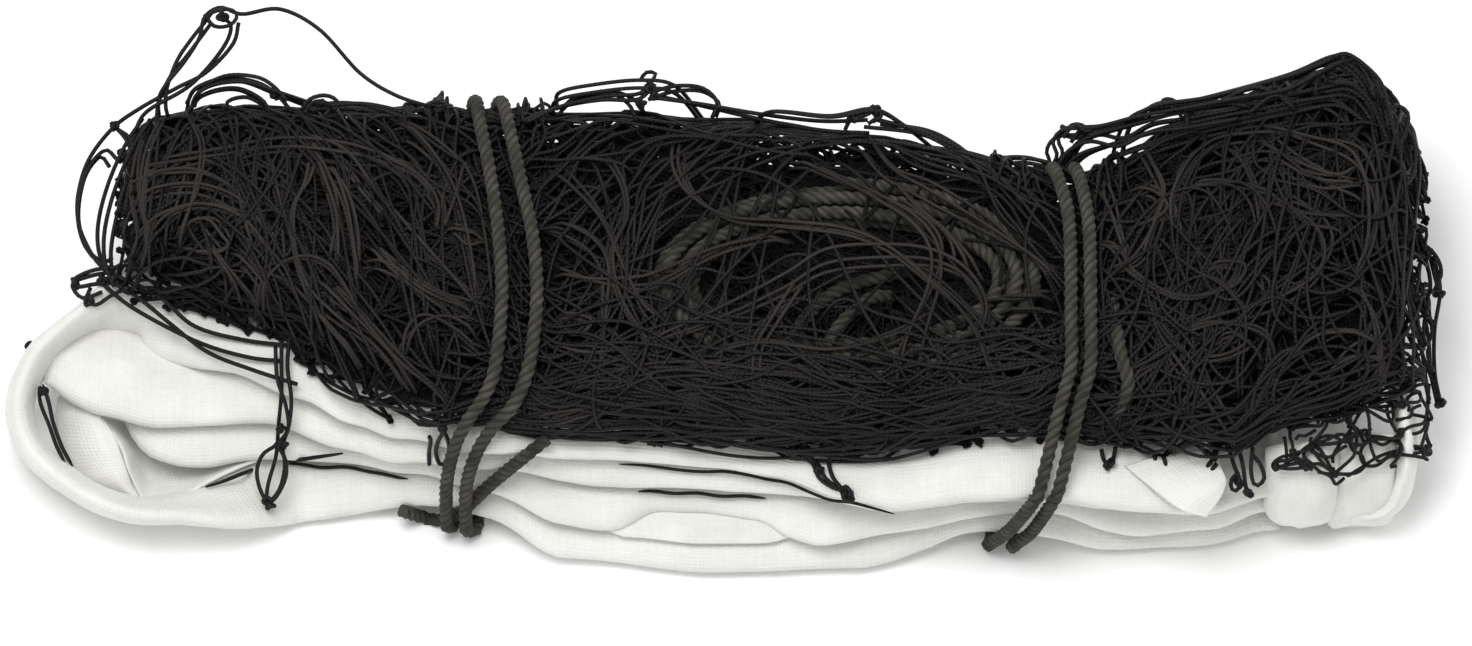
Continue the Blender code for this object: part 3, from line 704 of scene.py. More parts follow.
    def crown_profile(self, x: float, dipped: bool = True) -> list[tuple[float, float]]:
        """Section of the netting at x, as (y, z): crown, back, foot, wall and shelf.

        Args:
            x: Place along the bundle.
            dipped: Whether it dips under the hank of rope.

        Returns:
            The section's corners, from the front lip round.
        """
        front = follow(self.net_front_mm, x)
        back = follow(self.net_back_mm, x)
        shelf = self.shelf_height(x)
        dip = self.coil_dip(x)
        top = self.net_top - follow(self.drop_mm, x) - (dip * self.coil_pocket if dipped else 0)
        ripple = self.ripple * (1 - dip) * math.sin(2 * math.pi * x / self.ripple_length)
        middle, half = (front + back) / 2, (back - front) / 2
        points = []
        for step in range(self.crown_steps + 1):
            angle = math.pi * (1 - step / self.crown_steps)
            side = math.copysign(1, math.cos(angle))
            reach = abs(math.cos(angle)) ** (2 / self.crown_power) * side
            rise = abs(math.sin(angle)) ** (2 / self.crown_power)
            wave = ripple * math.sin(3 * angle)
            points.append((middle + half * reach, shelf + (top - shelf + wave) * rise))
        foot = self.tie_rise(x)
        points.append((back - self.foot_inset / 4, (shelf + foot) / 2))
        points.append((back - self.foot_inset, foot))
        points.append((self.net_wall, foot))
        points.append((self.net_wall, shelf))
        return points

    def crown_facets(self, x: float, dipped: bool = True) -> list[Vector]:
        """Crown of the netting at x, as its facets run between two stations.

        Args:
            x: Place along the bundle.
            dipped: Whether it dips under the hank of rope.

        Returns:
            The crown's corners (y, z), from the front lip to the back edge.
        """
        start = math.floor(x / self.station)
        share = x / self.station - start
        near = self.crown_profile(start * self.station, dipped)[:self.crown_steps + 1]
        far = self.crown_profile((start + 1) * self.station, dipped)[:self.crown_steps + 1]
        return [Vector(a).lerp(Vector(b), share) for a, b in zip(near, far)]

    def crown_height(self, x: float, y: float) -> float:
        """Height of the netting's crown over a place.

        Args:
            x: Place along the bundle.
            y: Place across it.

        Returns:
            The height over the floor.
        """
        crown = self.crown_facets(x)
        for near, far in zip(crown, crown[1:]):
            if y <= far.x:
                return near.y + (far.y - near.y) * (y - near.x) / (far.x - near.x)
        return crown[-1].y

    def skin_point(self, x: float, share: float, lift: float, dipped: bool = True) -> Vector:
        """Point over the netting's crown: share 0 is its front lip and 1 its back edge.

        Args:
            x: Place along the bundle.
            share: Share of the crown's facets.
            lift: Distance off the crown.
            dipped: Whether it dips under the hank of rope.

        Returns:
            The point, in the bundle's own frame.
        """
        crown = self.crown_facets(x, dipped)
        place = min(0.999, max(0.0, share)) * self.crown_steps
        index = int(place)
        point = crown[index].lerp(crown[index + 1], place - index)
        along = (crown[index + 1] - crown[index]).normalized()
        return Vector((x, point.x - along.y * lift, point.y + along.x * lift))

    def free_space(self, place: Vector) -> float:
        """Distance from a place to the netting's crown or the headband's runs, across the bundle.

        Args:
            place: The place, in the bundle's own frame.

        Returns:
            The least distance.
        """
        spot = Vector((place.y, place.z))
        nearest = math.inf
        if self.net_left < place.x < self.net_right:
            crown = self.crown_facets(place.x)
            for start, end in zip(crown, crown[1:]):
                _, share = intersect_point_line(spot, start, end)
                foot = start.lerp(end, min(1.0, max(0.0, share)))
                nearest = min(nearest, (spot - foot).length)
        half = self.sleeve_width() / 2 - self.sleeve_thickness / 2
        for index, (left, right) in enumerate(self.row_spans_mm):
            if left * MM <= place.x <= right * MM:
                middle = follow(self.row_fronts_mm[index], place.x) + self.sleeve_width() / 2
                aside = max(0.0, abs(place.y - middle) - half)
                above = place.z - self.row_height(index, place.x)
                nearest = min(nearest, math.hypot(aside, above) - self.sleeve_thickness / 2)
        return nearest

    def cord_place(self, place: Place, radius: float) -> Vector:
        """Find the place of a cord's point.

        Args:
            place: (column, row, height mm), with height 0 for a point that rests on what the
                photograph shows there, or (x mm, share of the crown).
            radius: Half the cord's thickness.

        Returns:
            The place, in the bundle's own frame.
        """
        if len(place) == 2:
            return self.skin_point(place[0] * MM, place[1], radius + self.cord_gap)
        column, row, height = place
        if height:
            return self.seen_at(column, row, height * MM)
        height = self.cord_start
        spot = self.seen_at(column, row, height)
        while height > radius and self.free_space(spot) > radius + self.cord_gap:
            height -= self.clearance
            spot = self.seen_at(column, row, height)
        return spot

    def shifted(self, points: np.ndarray) -> np.ndarray:
        """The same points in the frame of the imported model."""
        return points + np.array(self.shift)


@dataclass
class RopeWork:
    """The headline's spare rope: the hank on the netting, the two ties and their loose ends."""

    bundle: Bundle
    finish: bpy.types.Material
    diameter: float = 0.006
    lay: float = 0.0135
    sides: int = 18
    ring_step: float = 0.0013
    turns: int = 5
    pitch: float = 0.0074
    layer_step: float = 0.0068
    bed_clearance: float = 0.0006
    loop_points: int = 24
    stand_off: float = 0.0010
    reach: float = 0.011
    directions: int = 120
    left_tie_mm: Table = (
        (0, -116), (42, -115), (104, -106), (150, -103.5), (225, -92), (345, -116), (500, -106),
        (542, -105), (604, -96), (650, -92.5), (725, -77.5), (845, -108), (1000, -97))
    right_tie_mm: Table = (
        (0, 106), (42, 108), (140, 137), (200, 143), (255, 142.5), (295, 129.5), (330, 126),
        (378, 110), (500, 116), (542, 118), (640, 146), (700, 151), (755, 150.5), (795, 137.5),
        (830, 134), (878, 120), (1000, 126))
    tail: tuple[Place, ...] = (
        (548, 438, 0), (528, 454, 0), (508, 470, 0), (491, 484, 0), (474, 500, 0), (457, 514, 0),
        (437, 520, 0), (421, 517, 0), (403, 511, 0))
    bight: tuple[Place, ...] = ((160, 0.46), (163, 0.34), (166, 0.26), (161, 0.19))
    # Bights of the spare rope that lie inside the hank, as (column, row)
    inside: tuple[tuple[Place, ...], ...] = (
        ((778, 362), (784, 350), (794, 334), (808, 314), (830, 295), (858, 283), (888, 276),
         (918, 270), (936, 268)),
        ((822, 352), (830, 338), (842, 322), (856, 309), (872, 298), (892, 290)))
    inside_dive: float = 0.006

    def outline(self) -> np.ndarray:
        """Section of three round strands laid together, pressed a little into each other."""
        radius = self.diameter / 2
        strand, centre = 0.48 * radius, 0.52 * radius
        angles = 2 * math.pi * np.arange(self.sides) / self.sides
        near = np.abs((angles + math.pi / 3) % (2 * math.pi / 3) - math.pi / 3)
        inside = np.maximum(strand ** 2 - (centre * np.sin(near)) ** 2, 0)
        return np.maximum(centre * np.cos(near) + np.sqrt(inside), 0.83 * radius)

    def wrap_outline(self, x: float) -> list[Vector]:
        """Outline (y, z) that a rope drawn round the bundle near x lies on.

        Args:
            x: Place along the bundle.

        Returns:
            The corners of the outline.
        """
        bundle = self.bundle
        radius = bundle.sleeve_thickness / 2
        half = bundle.sleeve_width() / 2 - radius
        points = []
        for place in (x - self.reach, x, x + self.reach):
            points += bundle.crown_profile(place)
            for index, fronts in enumerate(bundle.row_fronts_mm):
                middle = follow(fronts, place) + bundle.sleeve_width() / 2
                height = bundle.row_height(index, place)
                for side in (1, -1):
                    for step in range(5):
                        angle = math.radians(-90 + 45 * step) * side
                        points.append((middle + side * (half + radius * math.cos(angle)),
                                       height + radius * math.sin(angle)))
        return [Vector(points[i]) for i in convex_hull_2d([Vector(p) for p in points])]

    def tie_place(self, x: float, share: float) -> Vector:
        """Middle of a tight rope at x, after a share of one turn from underneath round the back.

        Args:
            x: Place along the bundle.
            share: Share of the turn.

        Returns:
            The rope's middle there.
        """
        outline = self.wrap_outline(x)
        places = []
        for step in range(self.directions + 1):
            angle = 2 * math.pi * (step + 0.5) / self.directions - math.pi / 2
            out = Vector((math.cos(angle), math.sin(angle)))
            touch = max(outline, key=lambda point: point.dot(out))
            places.append(touch + out * (self.diameter / 2 + self.stand_off))
        lengths = [0.0]
        for near, far in zip(places, places[1:]):
            lengths.append(lengths[-1] + (far - near).length)
        shares = [(length / lengths[-1] + step / self.directions) / 2
                  for step, length in enumerate(lengths)]
        place = places[-1]
        for near, far, start, end in zip(places, places[1:], shares, shares[1:]):
            if share <= end:
                place = near.lerp(far, (share - start) / (end - start))
                break
        floor = self.diameter / 2 + self.bundle.clearance
        return Vector((x, place.x, max(place.y, floor)))

    def tie_route(self, table_mm: Table) -> list[Vector]:
        """Two turns of rope round the bundle, drawn tight on its outline.

        Args:
            table_mm: Pairs of (turns as thousandths of two, x in mm).

        Returns:
            Points of the route.
        """
        route = []
        for step in range(2 * self.loop_points + 1):
            turns = step / self.loop_points
            route.append(self.tie_place(follow(table_mm, turns / 2), turns % 1))
        return route

    def tied_places(self) -> np.ndarray:
        """Places along both ties, 4 mm apart."""
        routes = [self.tie_route(table) for table in (self.left_tie_mm, self.right_tie_mm)]
        return np.concatenate([evenly(np.array([p.xyz for p in route]), 0.004) for route in routes])

    def coil_route(self) -> list[Vector]:
        """Hank of rope: an oval spiral inwards, one layer up, and outwards again."""
        bundle = self.bundle
        route = []
        for step in range(self.turns * self.loop_points + 1):
            turn = step / self.loop_points
            inward = min(turn, self.turns - turn) * self.pitch
            climb = min(1.0, max(0.0, turn - self.turns / 2 + 0.25) / 0.5)
            angle = 2 * math.pi * turn + math.pi / 2
            x = bundle.coil_centre[0] + (bundle.coil_half[0] - inward) * math.cos(angle)
            y = bundle.coil_centre[1] + (bundle.coil_half[1] - inward) * math.sin(angle)
            bed = bundle.crown_height(x, y) + self.diameter / 2 + self.bed_clearance
            route.append(Vector((x, y, bed + self.layer_step * climb)))
        return route

    def lay_rope(self, name: str, route: list[Vector], nodes: tuple[str, ...]) -> None:
        """Args:
            name: Name of the piece.
            route: Points that the rope follows.
            nodes: CAD nodes that it stands for.
        """
        line = self.bundle.shifted(evenly(np.array([p.xyz for p in route]), self.ring_step))
        made = sweep(line[None], self.outline(), self.lay, twist=1 / self.lay)
        piece = add_mesh(name, made, self.finish, nodes)

    def build(self) -> None:
        """Build the hank, the ties and their loose ends."""
        radius = self.diameter / 2
        self.lay_rope("rope_hank", self.coil_route(), ("headline_coil",))
        for name, places in zip(("rope_inner_bight_long", "rope_inner_bight_short"), self.inside):
            route = []
            for index, (column, row) in enumerate(places):
                spot = self.bundle.cord_place((column, row, 0), radius)
                end = index in (0, len(places) - 1)
                route.append(spot - Vector((0, 0, self.inside_dive if end else 0)))
            self.lay_rope(name, route, ())
        for side, table in (("left", self.left_tie_mm), ("right", self.right_tie_mm)):
            self.lay_rope(f"rope_tie_{side}", self.tie_route(table), (f"{side}_tie",))
        for name, places, nodes, dive in (
                ("rope_tie_tail", self.tail, ("left_tie_hitch", "left_tie_stub"), 0.0),
                ("rope_tie_bight", self.bight, ("right_tie_bight",), self.inside_dive)):
            route = [self.bundle.cord_place(place, radius) for place in places]
            for end in (0, -1):
                route[end] = route[end] - Vector((0, 0, dive))
            line = self.bundle.shifted(evenly(np.array(route), self.ring_step))
            made = sweep(line[None], self.outline(), self.lay, twist=1 / self.lay)
            add_mesh(name, made, self.finish, nodes)


@dataclass
class Headband:
    """White canvas sleeve, folded to and fro: the runs that show and its turns and folds."""

    bundle: Bundle
    finish: bpy.types.Material
    section_points: int = 44
    step: float = 0.004
    wrinkle: float = 0.0010
    calm_wrinkle: float = 0.0003
    end_wrinkle: float = 0.0013
    plump: float = 2.2
    cloth_thickness: float = 0.0016
    patch_steps: int = 8
    patch_wrinkle: float = 0.0004
    least_width: float = 0.011
    # Middle of the outermost run round the eye: (column, row, height mm, lean of the tape in
    # degrees, share of its thickness)
    left_turn: tuple[Place, ...] = (
        (150, 307, 51, 40, 0.85), (120, 312, 48, 78, 0.72), (92, 321, 45, 98, 0.66),
        (62, 338, 43, 107, 0.68), (36, 364, 40, 110, 0.74), (20, 408, 34, 114, 0.78),
        (34, 452, 27, 118, 0.78), (77, 487, 22, 121, 0.75), (130, 509, 20, 124, 0.72),
        (178, 509, 17, 132, 0.72), (225, 502, 13, 152, 0.85))
    turn_stations: int = 9
    # The upper and lower runs reach on behind the left turn and the tuck: (left x, right x) in mm
    reach_mm: Table = ((-186, 231), (-252, 230), (-284, 229), (-240, 200))
    # Front edges where the photograph shows more than the solids do: (x, front y) in mm
    lower_front_mm: Table = (
        (-252, -41), (-246, -48), (-240, -54), (-227, -58.5), (-217, -59), (-198, -55), (-190, -54),
        (-158, -56), (-130, -64), (-102, -73), (-69, -86), (-46, -88.5), (-38, -85), (-31, -79),
        (-10, -79.5), (15, -83), (27, -92), (38, -95.5), (73, -89), (131, -83), (170, -91),
        (203, -88),
        (224, -79))
    upper_front_mm: Table = (
        (-284, -26), (-272, -36), (-262, -41), (-236, -48), (-190, -46), (-158, -58), (-135, -67),
        (-102, -72), (-37, -76), (25, -79), (73, -88), (140, -87), (198, -89), (229, -80))
    # Slack fold between the two lowest runs, where the lower one draws back: (x, front y) in mm
    slack_front_mm: Table = ((-58, -84), (-40, -89), (-10, -92), (15, -92), (34, -90))
    slack_section: tuple[float, float, float] = (0.026, 0.006, 0.0178)
    # Funnel of tape inside the eye, as rows of (column, row, height mm)
    cone: tuple[tuple[Place, ...], ...] = (
        ((57, 398, 22), (56, 419, 20), (61, 451, 17), (80, 477, 14), (112, 493, 11),
         (140, 500, 10)),
        ((70, 396, 29), (72, 420, 28), (81, 450, 25), (98, 475, 21), (122, 491, 16),
         (141, 501, 12)),
        ((86, 403, 33), (93, 424, 32), (102, 450, 29), (114, 472, 24), (128, 490, 18),
         (142, 501, 13)),
        ((99, 415, 34), (113, 432, 31), (120, 450, 28), (126, 470, 23), (132, 487, 17),
         (143, 502, 13)))
    mouth: tuple[tuple[Place, ...], ...] = (
        ((99, 417, 33), (121, 447, 27), (129, 475, 20), (143, 502, 14)),
        ((118, 423, 15), (135, 450, 9), (146, 478, 7), (154, 502, 14)),
        ((150, 426, 9), (165, 452, 6), (176, 476, 7), (179, 499, 15)),
        ((195, 428, 9), (203, 450, 7), (207, 468, 9), (205, 484, 17)),
        ((240, 425, 11), (240, 440, 11), (240, 455, 13), (237, 468, 19)),
        ((280, 425, 14), (280, 435, 15), (280, 445, 17), (278, 452, 21)))
    corner: tuple[tuple[Place, ...], ...] = (
        ((1122, 466, 62.0), (1146, 486, 62.5), (1174, 507, 61.5), (1200, 515, 56.0)),
        ((1148, 458, 63.5), (1168, 476, 64.5), (1190, 495, 63.5), (1208, 504, 58.0)),
        ((1180, 452, 63.5), (1194, 468, 64.5), (1208, 484, 63.5), (1216, 492, 60.0)),
        ((1210, 448, 62.5), (1214, 462, 63.0), (1219, 474, 62.5), (1220, 480, 61.0)))
    tuck_line: tuple[Place, ...] = (
        (1296, 440, 54), (1299, 462, 50), (1299, 484, 40), (1298, 505, 25), (1297, 517, 11))
    tuck_section: tuple[float, float] = (0.031, 0.017)
    flap_line: tuple[Place, ...] = (
        (1362, 432, 50), (1362, 468, 43), (1363, 496, 29), (1364, 513, 14), (1364, 520, 6))
    flap_section: tuple[float, float] = (0.0245, 0.010)
    step_line: tuple[Place, ...] = (
        (1326, 455, 42), (1331, 480, 36), (1336, 502, 25), (1340, 515, 14), (1342, 520, 7))
    step_section: tuple[float, float] = (0.014, 0.009)
    rim_line: tuple[Place, ...] = (
        (1384, 318, 50), (1394, 360, 49), (1400, 410, 45), (1403, 450, 40), (1401, 476, 32),
        (1395, 497, 23), (1382, 510, 15), (1364, 516, 10), (1342, 515, 7))
    rim_section: tuple[float, float] = (0.026, 0.0085)
    inner_count: int = 11
    inner_span: tuple[float, float] = (-0.120, 0.272)
    inner_front: float = -0.019
    inner_lowest: float = 0.0076
    inner_gap: float = 0.0007

    def section(self, width: float, thickness: float) -> np.ndarray:
        """Plump flat section, as (across, out of the flat) round it.

        Args:
            width: Its width.
            thickness: Its thickness.

        Returns:
            Its points, as (points, 2).
        """
        angles = 2 * math.pi * np.arange(self.section_points) / self.section_points
        reach = np.sign(np.cos(angles)) * np.abs(np.cos(angles)) ** (2 / self.plump)
        rise = np.sign(np.sin(angles)) * np.abs(np.sin(angles)) ** (2 / self.plump)
        return np.stack([reach * width / 2, rise * thickness / 2], axis=1)

    def crumple(self, points: np.ndarray, out: np.ndarray, cloth: np.ndarray, amount: float,
                seed: float) -> np.ndarray:
        """Push points in and out in long soft folds that run along the cloth.

        Args:
            points: Points of the cloth.
            out: Direction out of the cloth at each.
            cloth: Place of each on the cloth, in mm along and across.
            amount: Height of the folds.
            seed: Offset that gives each piece folds of its own.

        Returns:
            The moved points.
        """
        moved = points.copy()
        for index, (point, away, (u, v)) in enumerate(zip(points, out, cloth)):
            long_fold = noise.noise(Vector((u / 60 + seed, v / 10, seed)))
            aslant = Vector((u / 48 + v / 30 + seed, v / 12 - u / 90, seed + 7))
            ridge = 1 - 2 * abs(noise.noise(aslant))
            fine = noise.noise(Vector((u / 9, v / 7, seed + 3)))
            height = amount * (1.1 * long_fold + 0.45 * ridge ** 3 + 0.10 * fine - 0.2)
            moved[index] = point + away * height
        return moved

    def close(self, name: str, places: np.ndarray, cloth: np.ndarray, round_mm: float,
              nodes: tuple[str, ...], flat: tuple[float, float]) -> None:
        """Args:
            name: Name of the piece.
            places: Points, as (rings, points round, 3).
            cloth: Place of each on the cloth in mm, as (rings, points round, 2).
            round_mm: Length of the cloth round a ring.
            nodes: CAD nodes that it stands for.
            flat: Width and length of the sleeve laid flat.
        """
        rows, count = places.shape[:2]
        index = np.arange(rows * count).reshape(rows, count)
        after = np.roll(index, -1, axis=1)
        quads = np.stack([index[:-1], after[:-1], after[1:], index[1:]], axis=-1).reshape(-1, 4)
        beyond = np.roll(cloth, -1, axis=1).copy()
        beyond[:, -1, 1] = round_mm
        uvs = np.stack([cloth[:-1], beyond[:-1], beyond[1:], cloth[1:]], axis=2)
        caps = [index[0, ::-1].tolist(), index[-1].tolist()]
        made = Swept(self.bundle.shifted(places.reshape(-1, 3)), quads, uvs.reshape(-1, 4, 2), caps)
        add_mesh(name, made, self.finish, nodes)
        log.info("%s: %.0f mm of tape", name, flat[1] / MM)

    def band(self, name: str, stations: list[Station], width: float, thickness: float,
             nodes: tuple[str, ...], seed: float, amount: float | None = None,
             taper: float = 0.0, pull: tuple[float, float] = (1.0, 1.0), anchor: float = 0.0,
             thick: list[float] | None = None) -> None:
        """Sleeve along stations of (centre, direction across it, direction along it).

        Args:
            name: Name of the piece.
            stations: Stations along its middle.
            width: Width of its section.
            thickness: Thickness of its section.
            nodes: CAD nodes that it stands for.
            seed: Offset of its folds.
            amount: Height of its folds, if not the headband's own.
            taper: Length over which each end flattens to a fold.
            pull: Share of the width that the first and the last end keep.
            anchor: Edge that keeps its place where an end narrows: -1, 1, or 0 for the middle.
            thick: Share of the thickness at each station.
        """
        outline = self.section(width, thickness)
        edge = np.linalg.norm(np.roll(outline, -1, axis=0) - outline, axis=1)
        round_it = running(edge)
        centres = np.array([station[0] for station in stations])
        along = running(np.linalg.norm(np.diff(centres, axis=0), axis=1))
        points, outs, cloth = [], [], []
        for index, (centre, across, ahead) in enumerate(stations):
            flat = (across - ahead * across.dot(ahead)).normalized()
            away = ahead.cross(flat)
            thin, narrow = thick[index] if thick else 1.0, 1.0
            for end, kept in ((along[index], pull[0]), (along[-1] - along[index], pull[1])):
                t = min(1.0, end / taper) if taper else 1.0
                ease = math.sqrt(t * (2 - t))
                thin *= 0.25 + 0.75 * ease
                narrow *= kept + (1 - kept) * ease
            aside = anchor * (1 - narrow) * width / 2
            for k, (u, v) in enumerate(outline):
                points.append(centre + flat * (u * narrow + aside) + away * v * thin)
                outs.append((flat * u * (thickness / width) + away * v).normalized())
                cloth.append((along[index] / MM, round_it[k] / MM))
        cloth_mm = np.array(cloth)
        height = self.wrinkle if amount is None else amount
        places = self.crumple(np.array(points), np.array(outs), cloth_mm, height, seed)
        rows = len(stations)
        self.close(name, places.reshape(rows, -1, 3), cloth_mm.reshape(rows, -1, 2),
                   round_it[-1] / MM, nodes, (round_it[-1] / 2, float(along[-1])))

    def patch(self, name: str, grid: tuple[tuple[Place, ...], ...], seed: float,
              nodes: tuple[str, ...] = ()) -> None:
        """Smooth flat tape, a closed sleeve, through rows of places that the photograph shows.

        Args:
            name: Name of the piece.
            grid: Rows of (column, row, height mm), each with as many places.
            seed: Offset of its folds.
            nodes: CAD nodes that it stands for.
        """
        rows = curve_through(self.bundle.seen_grid(grid), self.patch_steps)
        sheet = curve_through(rows.transpose(1, 0, 2), self.patch_steps).transpose(1, 0, 2)
        du, dv = np.gradient(sheet, axis=0), np.gradient(sheet, axis=1)
        normal = normalised(np.cross(du, dv))
        along = np.cumsum(np.linalg.norm(du, axis=2), axis=0).mean(axis=1)
        across = np.cumsum(np.linalg.norm(dv, axis=2), axis=1).mean(axis=0)
        cloth = np.stack(np.broadcast_arrays(along[:, None] / MM, across[None] / MM), axis=-1)
        moved = self.crumple(sheet.reshape(-1, 3), normal.reshape(-1, 3), cloth.reshape(-1, 2),
                             self.patch_wrinkle, seed)
        sheet = moved.reshape(sheet.shape)
        half = self.cloth_thickness / 2
        edge = normalised(sheet[:, -1:] - sheet[:, -2:-1]) * half
        start = normalised(sheet[:, :1] - sheet[:, 1:2]) * half
        ring = np.concatenate([sheet + normal * half, sheet[:, -1:] + edge,
                               (sheet - normal * half)[:, ::-1], sheet[:, :1] + start], axis=1)
        cloth_ring = np.concatenate([cloth, cloth[:, -1:], cloth[:, ::-1], cloth[:, :1]], axis=1)
        width = float(across[-1] - across[0])
        self.close(name, ring, cloth_ring, float(across[0] / MM), nodes,
                   (max(width, self.least_width), float(along[-1] - along[0])))

    def run_stations(self, index: int) -> list[Station]:
        """Stations of one run, from its left end to its right end.

        Args:
            index: Number of the run, from below.

        Returns:
            Its stations.
        """
        left, right = (edge * MM for edge in self.reach_mm[index])
        fronts = (self.bundle.row_fronts_mm[0], self.lower_front_mm, self.upper_front_mm,
                  self.bundle.row_fronts_mm[3])[index]
        xs = np.linspace(left, right, round((right - left) / self.step) + 1)
        front = np.array([follow(fronts, x) for x in xs])
        padded = np.concatenate([front[:1], front, front[-1:]])
        front = (padded[:-2] + 2 * padded[1:-1] + padded[2:]) / 4
        stations = []
        for x, edge in zip(xs, front):
            y = edge + self.bundle.sleeve_width() / 2
            stations.append((Vector((x, y, self.bundle.row_height(index, x))), Vector((0, 1, 0)),
                             Vector((1, 0, 0))))
        return stations

    def outer_stations(self) -> tuple[list[Station], list[float]]:
        """Stations of the outermost run, over the top, round the left eye and back underneath, and
        its share of the full thickness at each."""
        top = [(c, -a, -b) for c, a, b in reversed(self.run_stations(3))]
        bottom = self.run_stations(0)
        keys = [[*top[-self.turn_stations][0], 0.0, MM]]
        for column, row, height, lean, thick in self.left_turn:
            keys.append([*self.bundle.seen_at(column, row, height * MM), lean * MM, thick * MM])
        keys += [[*bottom[0][0], 180 * MM, MM], [*bottom[5][0], 180 * MM, MM]]
        curve = evenly(np.array(keys), self.step)
        centres = [Vector(point[:3]) for point in curve]
        turn = []
        for index, centre in enumerate(centres):
            lean = math.radians(curve[index][3] / MM)
            turn.append((centre, Vector((0, -math.cos(lean), -math.sin(lean))),
                         heading(centres, index)))
        thick = [point[4] / MM for point in curve]
        stations = top[:-self.turn_stations] + turn + bottom[6:]
        return stations, [1.0] * (len(top) - self.turn_stations) + thick + [1.0] * (len(bottom) - 6)

    def build(self) -> None:
        """Build every run, turn and fold of the headband."""
        width, thickness = self.bundle.sleeve_width(), self.bundle.sleeve_thickness
        stations, thick = self.outer_stations()
        self.band("headband_outer_run", stations, width, thickness, ("headband_outer_fold",), 1.0,
                  taper=0.012, thick=thick)
        self.band("headband_lower_run", self.run_stations(1), width, thickness,
                  ("headband_third_run",), 5.0, taper=0.016, pull=(0.6, 1.0))
        self.band("headband_upper_run", self.run_stations(2), width, thickness,
                  ("headband_second_run",), 9.0, taper=0.030, pull=(0.3, 1.0), anchor=-1.0)
        self.patch("headband_cone", self.cone, 13.0, ("headband_inner_curl",))
        self.patch("headband_cone_mouth", self.mouth, 14.0)
        self.patch("headband_turned_corner", self.corner, 15.0)
        self.build_slack()
        self.build_right_folds()
        self.build_inner()

    def build_slack(self) -> None:
        """Slack fold that shows where the lower run draws back."""
        width, thickness, height = self.slack_section
        left, right = self.slack_front_mm[0][0] * MM, self.slack_front_mm[-1][0] * MM
        stations = []
        for x in np.linspace(left, right, 24):
            y = follow(self.slack_front_mm, x) + width / 2
            stations.append((Vector((x, y, height)), Vector((0, 1, 0)), Vector((1, 0, 0))))
        self.band("headband_slack_fold", stations, width, thickness, (), 31.0,
                  amount=self.calm_wrinkle, taper=0.02, pull=(0.5, 0.5))

    def build_right_folds(self) -> None:
        """Tuck, flaps and rim that the tape makes at the right end."""
        sideways = Vector((1, 0, 0))
        folds = (
            ("headband_end_tuck", ("headband_tuck",), self.tuck_line, self.tuck_section, sideways,
             0.020, (0.9, 0.35)),
            ("headband_end_step", (), self.step_line, self.step_section, sideways, 0.006,
             (1.0, 0.6)),
            ("headband_end_flap", ("headband_right_flap",), self.flap_line, self.flap_section,
             sideways, 0.008, (1.0, 0.75)),
            ("headband_end_rim", ("headband_right_rim",), self.rim_line, self.rim_section,
             Vector((0, -0.5, 0.87)), 0.014, (1.0, 0.35)),
        )
        for number, (name, nodes, line, section, across, taper, pull) in enumerate(folds):
            keys = self.bundle.seen_grid((line,))[0]
            centres = [Vector(point) for point in evenly(keys, self.step / 3)]
            stations = [(centre, across, heading(centres, index))
                        for index, centre in enumerate(centres)]
            self.band(name, stations, *section, nodes, 17.0 + number,
                      amount=self.end_wrinkle, taper=taper, pull=pull)

    def build_inner(self) -> None:
        """The rest of the headband, folded to and fro behind the runs that show."""
        left, right = self.inner_span
        run = self.bundle.sleeve_thickness + self.bundle.clearance
        highest = len(self.bundle.row_fronts_mm) * run
        pitch = (highest - self.inner_lowest) / self.inner_count
        y = self.inner_front + self.bundle.sleeve_flat / 2
        keys = []
        for fold in range(self.inner_count):
            z = self.inner_lowest + pitch * (fold + 0.5) - self.inner_gap / 2
            ends = (left, right) if fold % 2 == 0 else (right, left)
            keys += [Vector((x, y, z)) for x in np.linspace(ends[0], ends[1], 40)]
            if fold < self.inner_count - 1:
                side = 1 if fold % 2 == 0 else -1
                keys.append(Vector((ends[1] + side * pitch / 2, y, z + pitch / 2)))
        stations = [(centre, Vector((0, 1, 0)), heading(keys, index))
                    for index, centre in enumerate(keys)]
        self.band("headband_inner_layers", stations, self.bundle.sleeve_flat,
                  pitch - 2 * self.inner_gap, ("headband_inner_folds",), 23.0,
                  amount=self.calm_wrinkle)


@dataclass(frozen=True)
class Bights:
    """A group of long bights of twine that lie over the gathered netting in one way."""

    count: int
    xs: tuple[float, float]
    shares: tuple[float, float]
    heading: float
    spread: float
    length: tuple[float, float]
    turn: tuple[float, float]
    lift: float = 0.0030


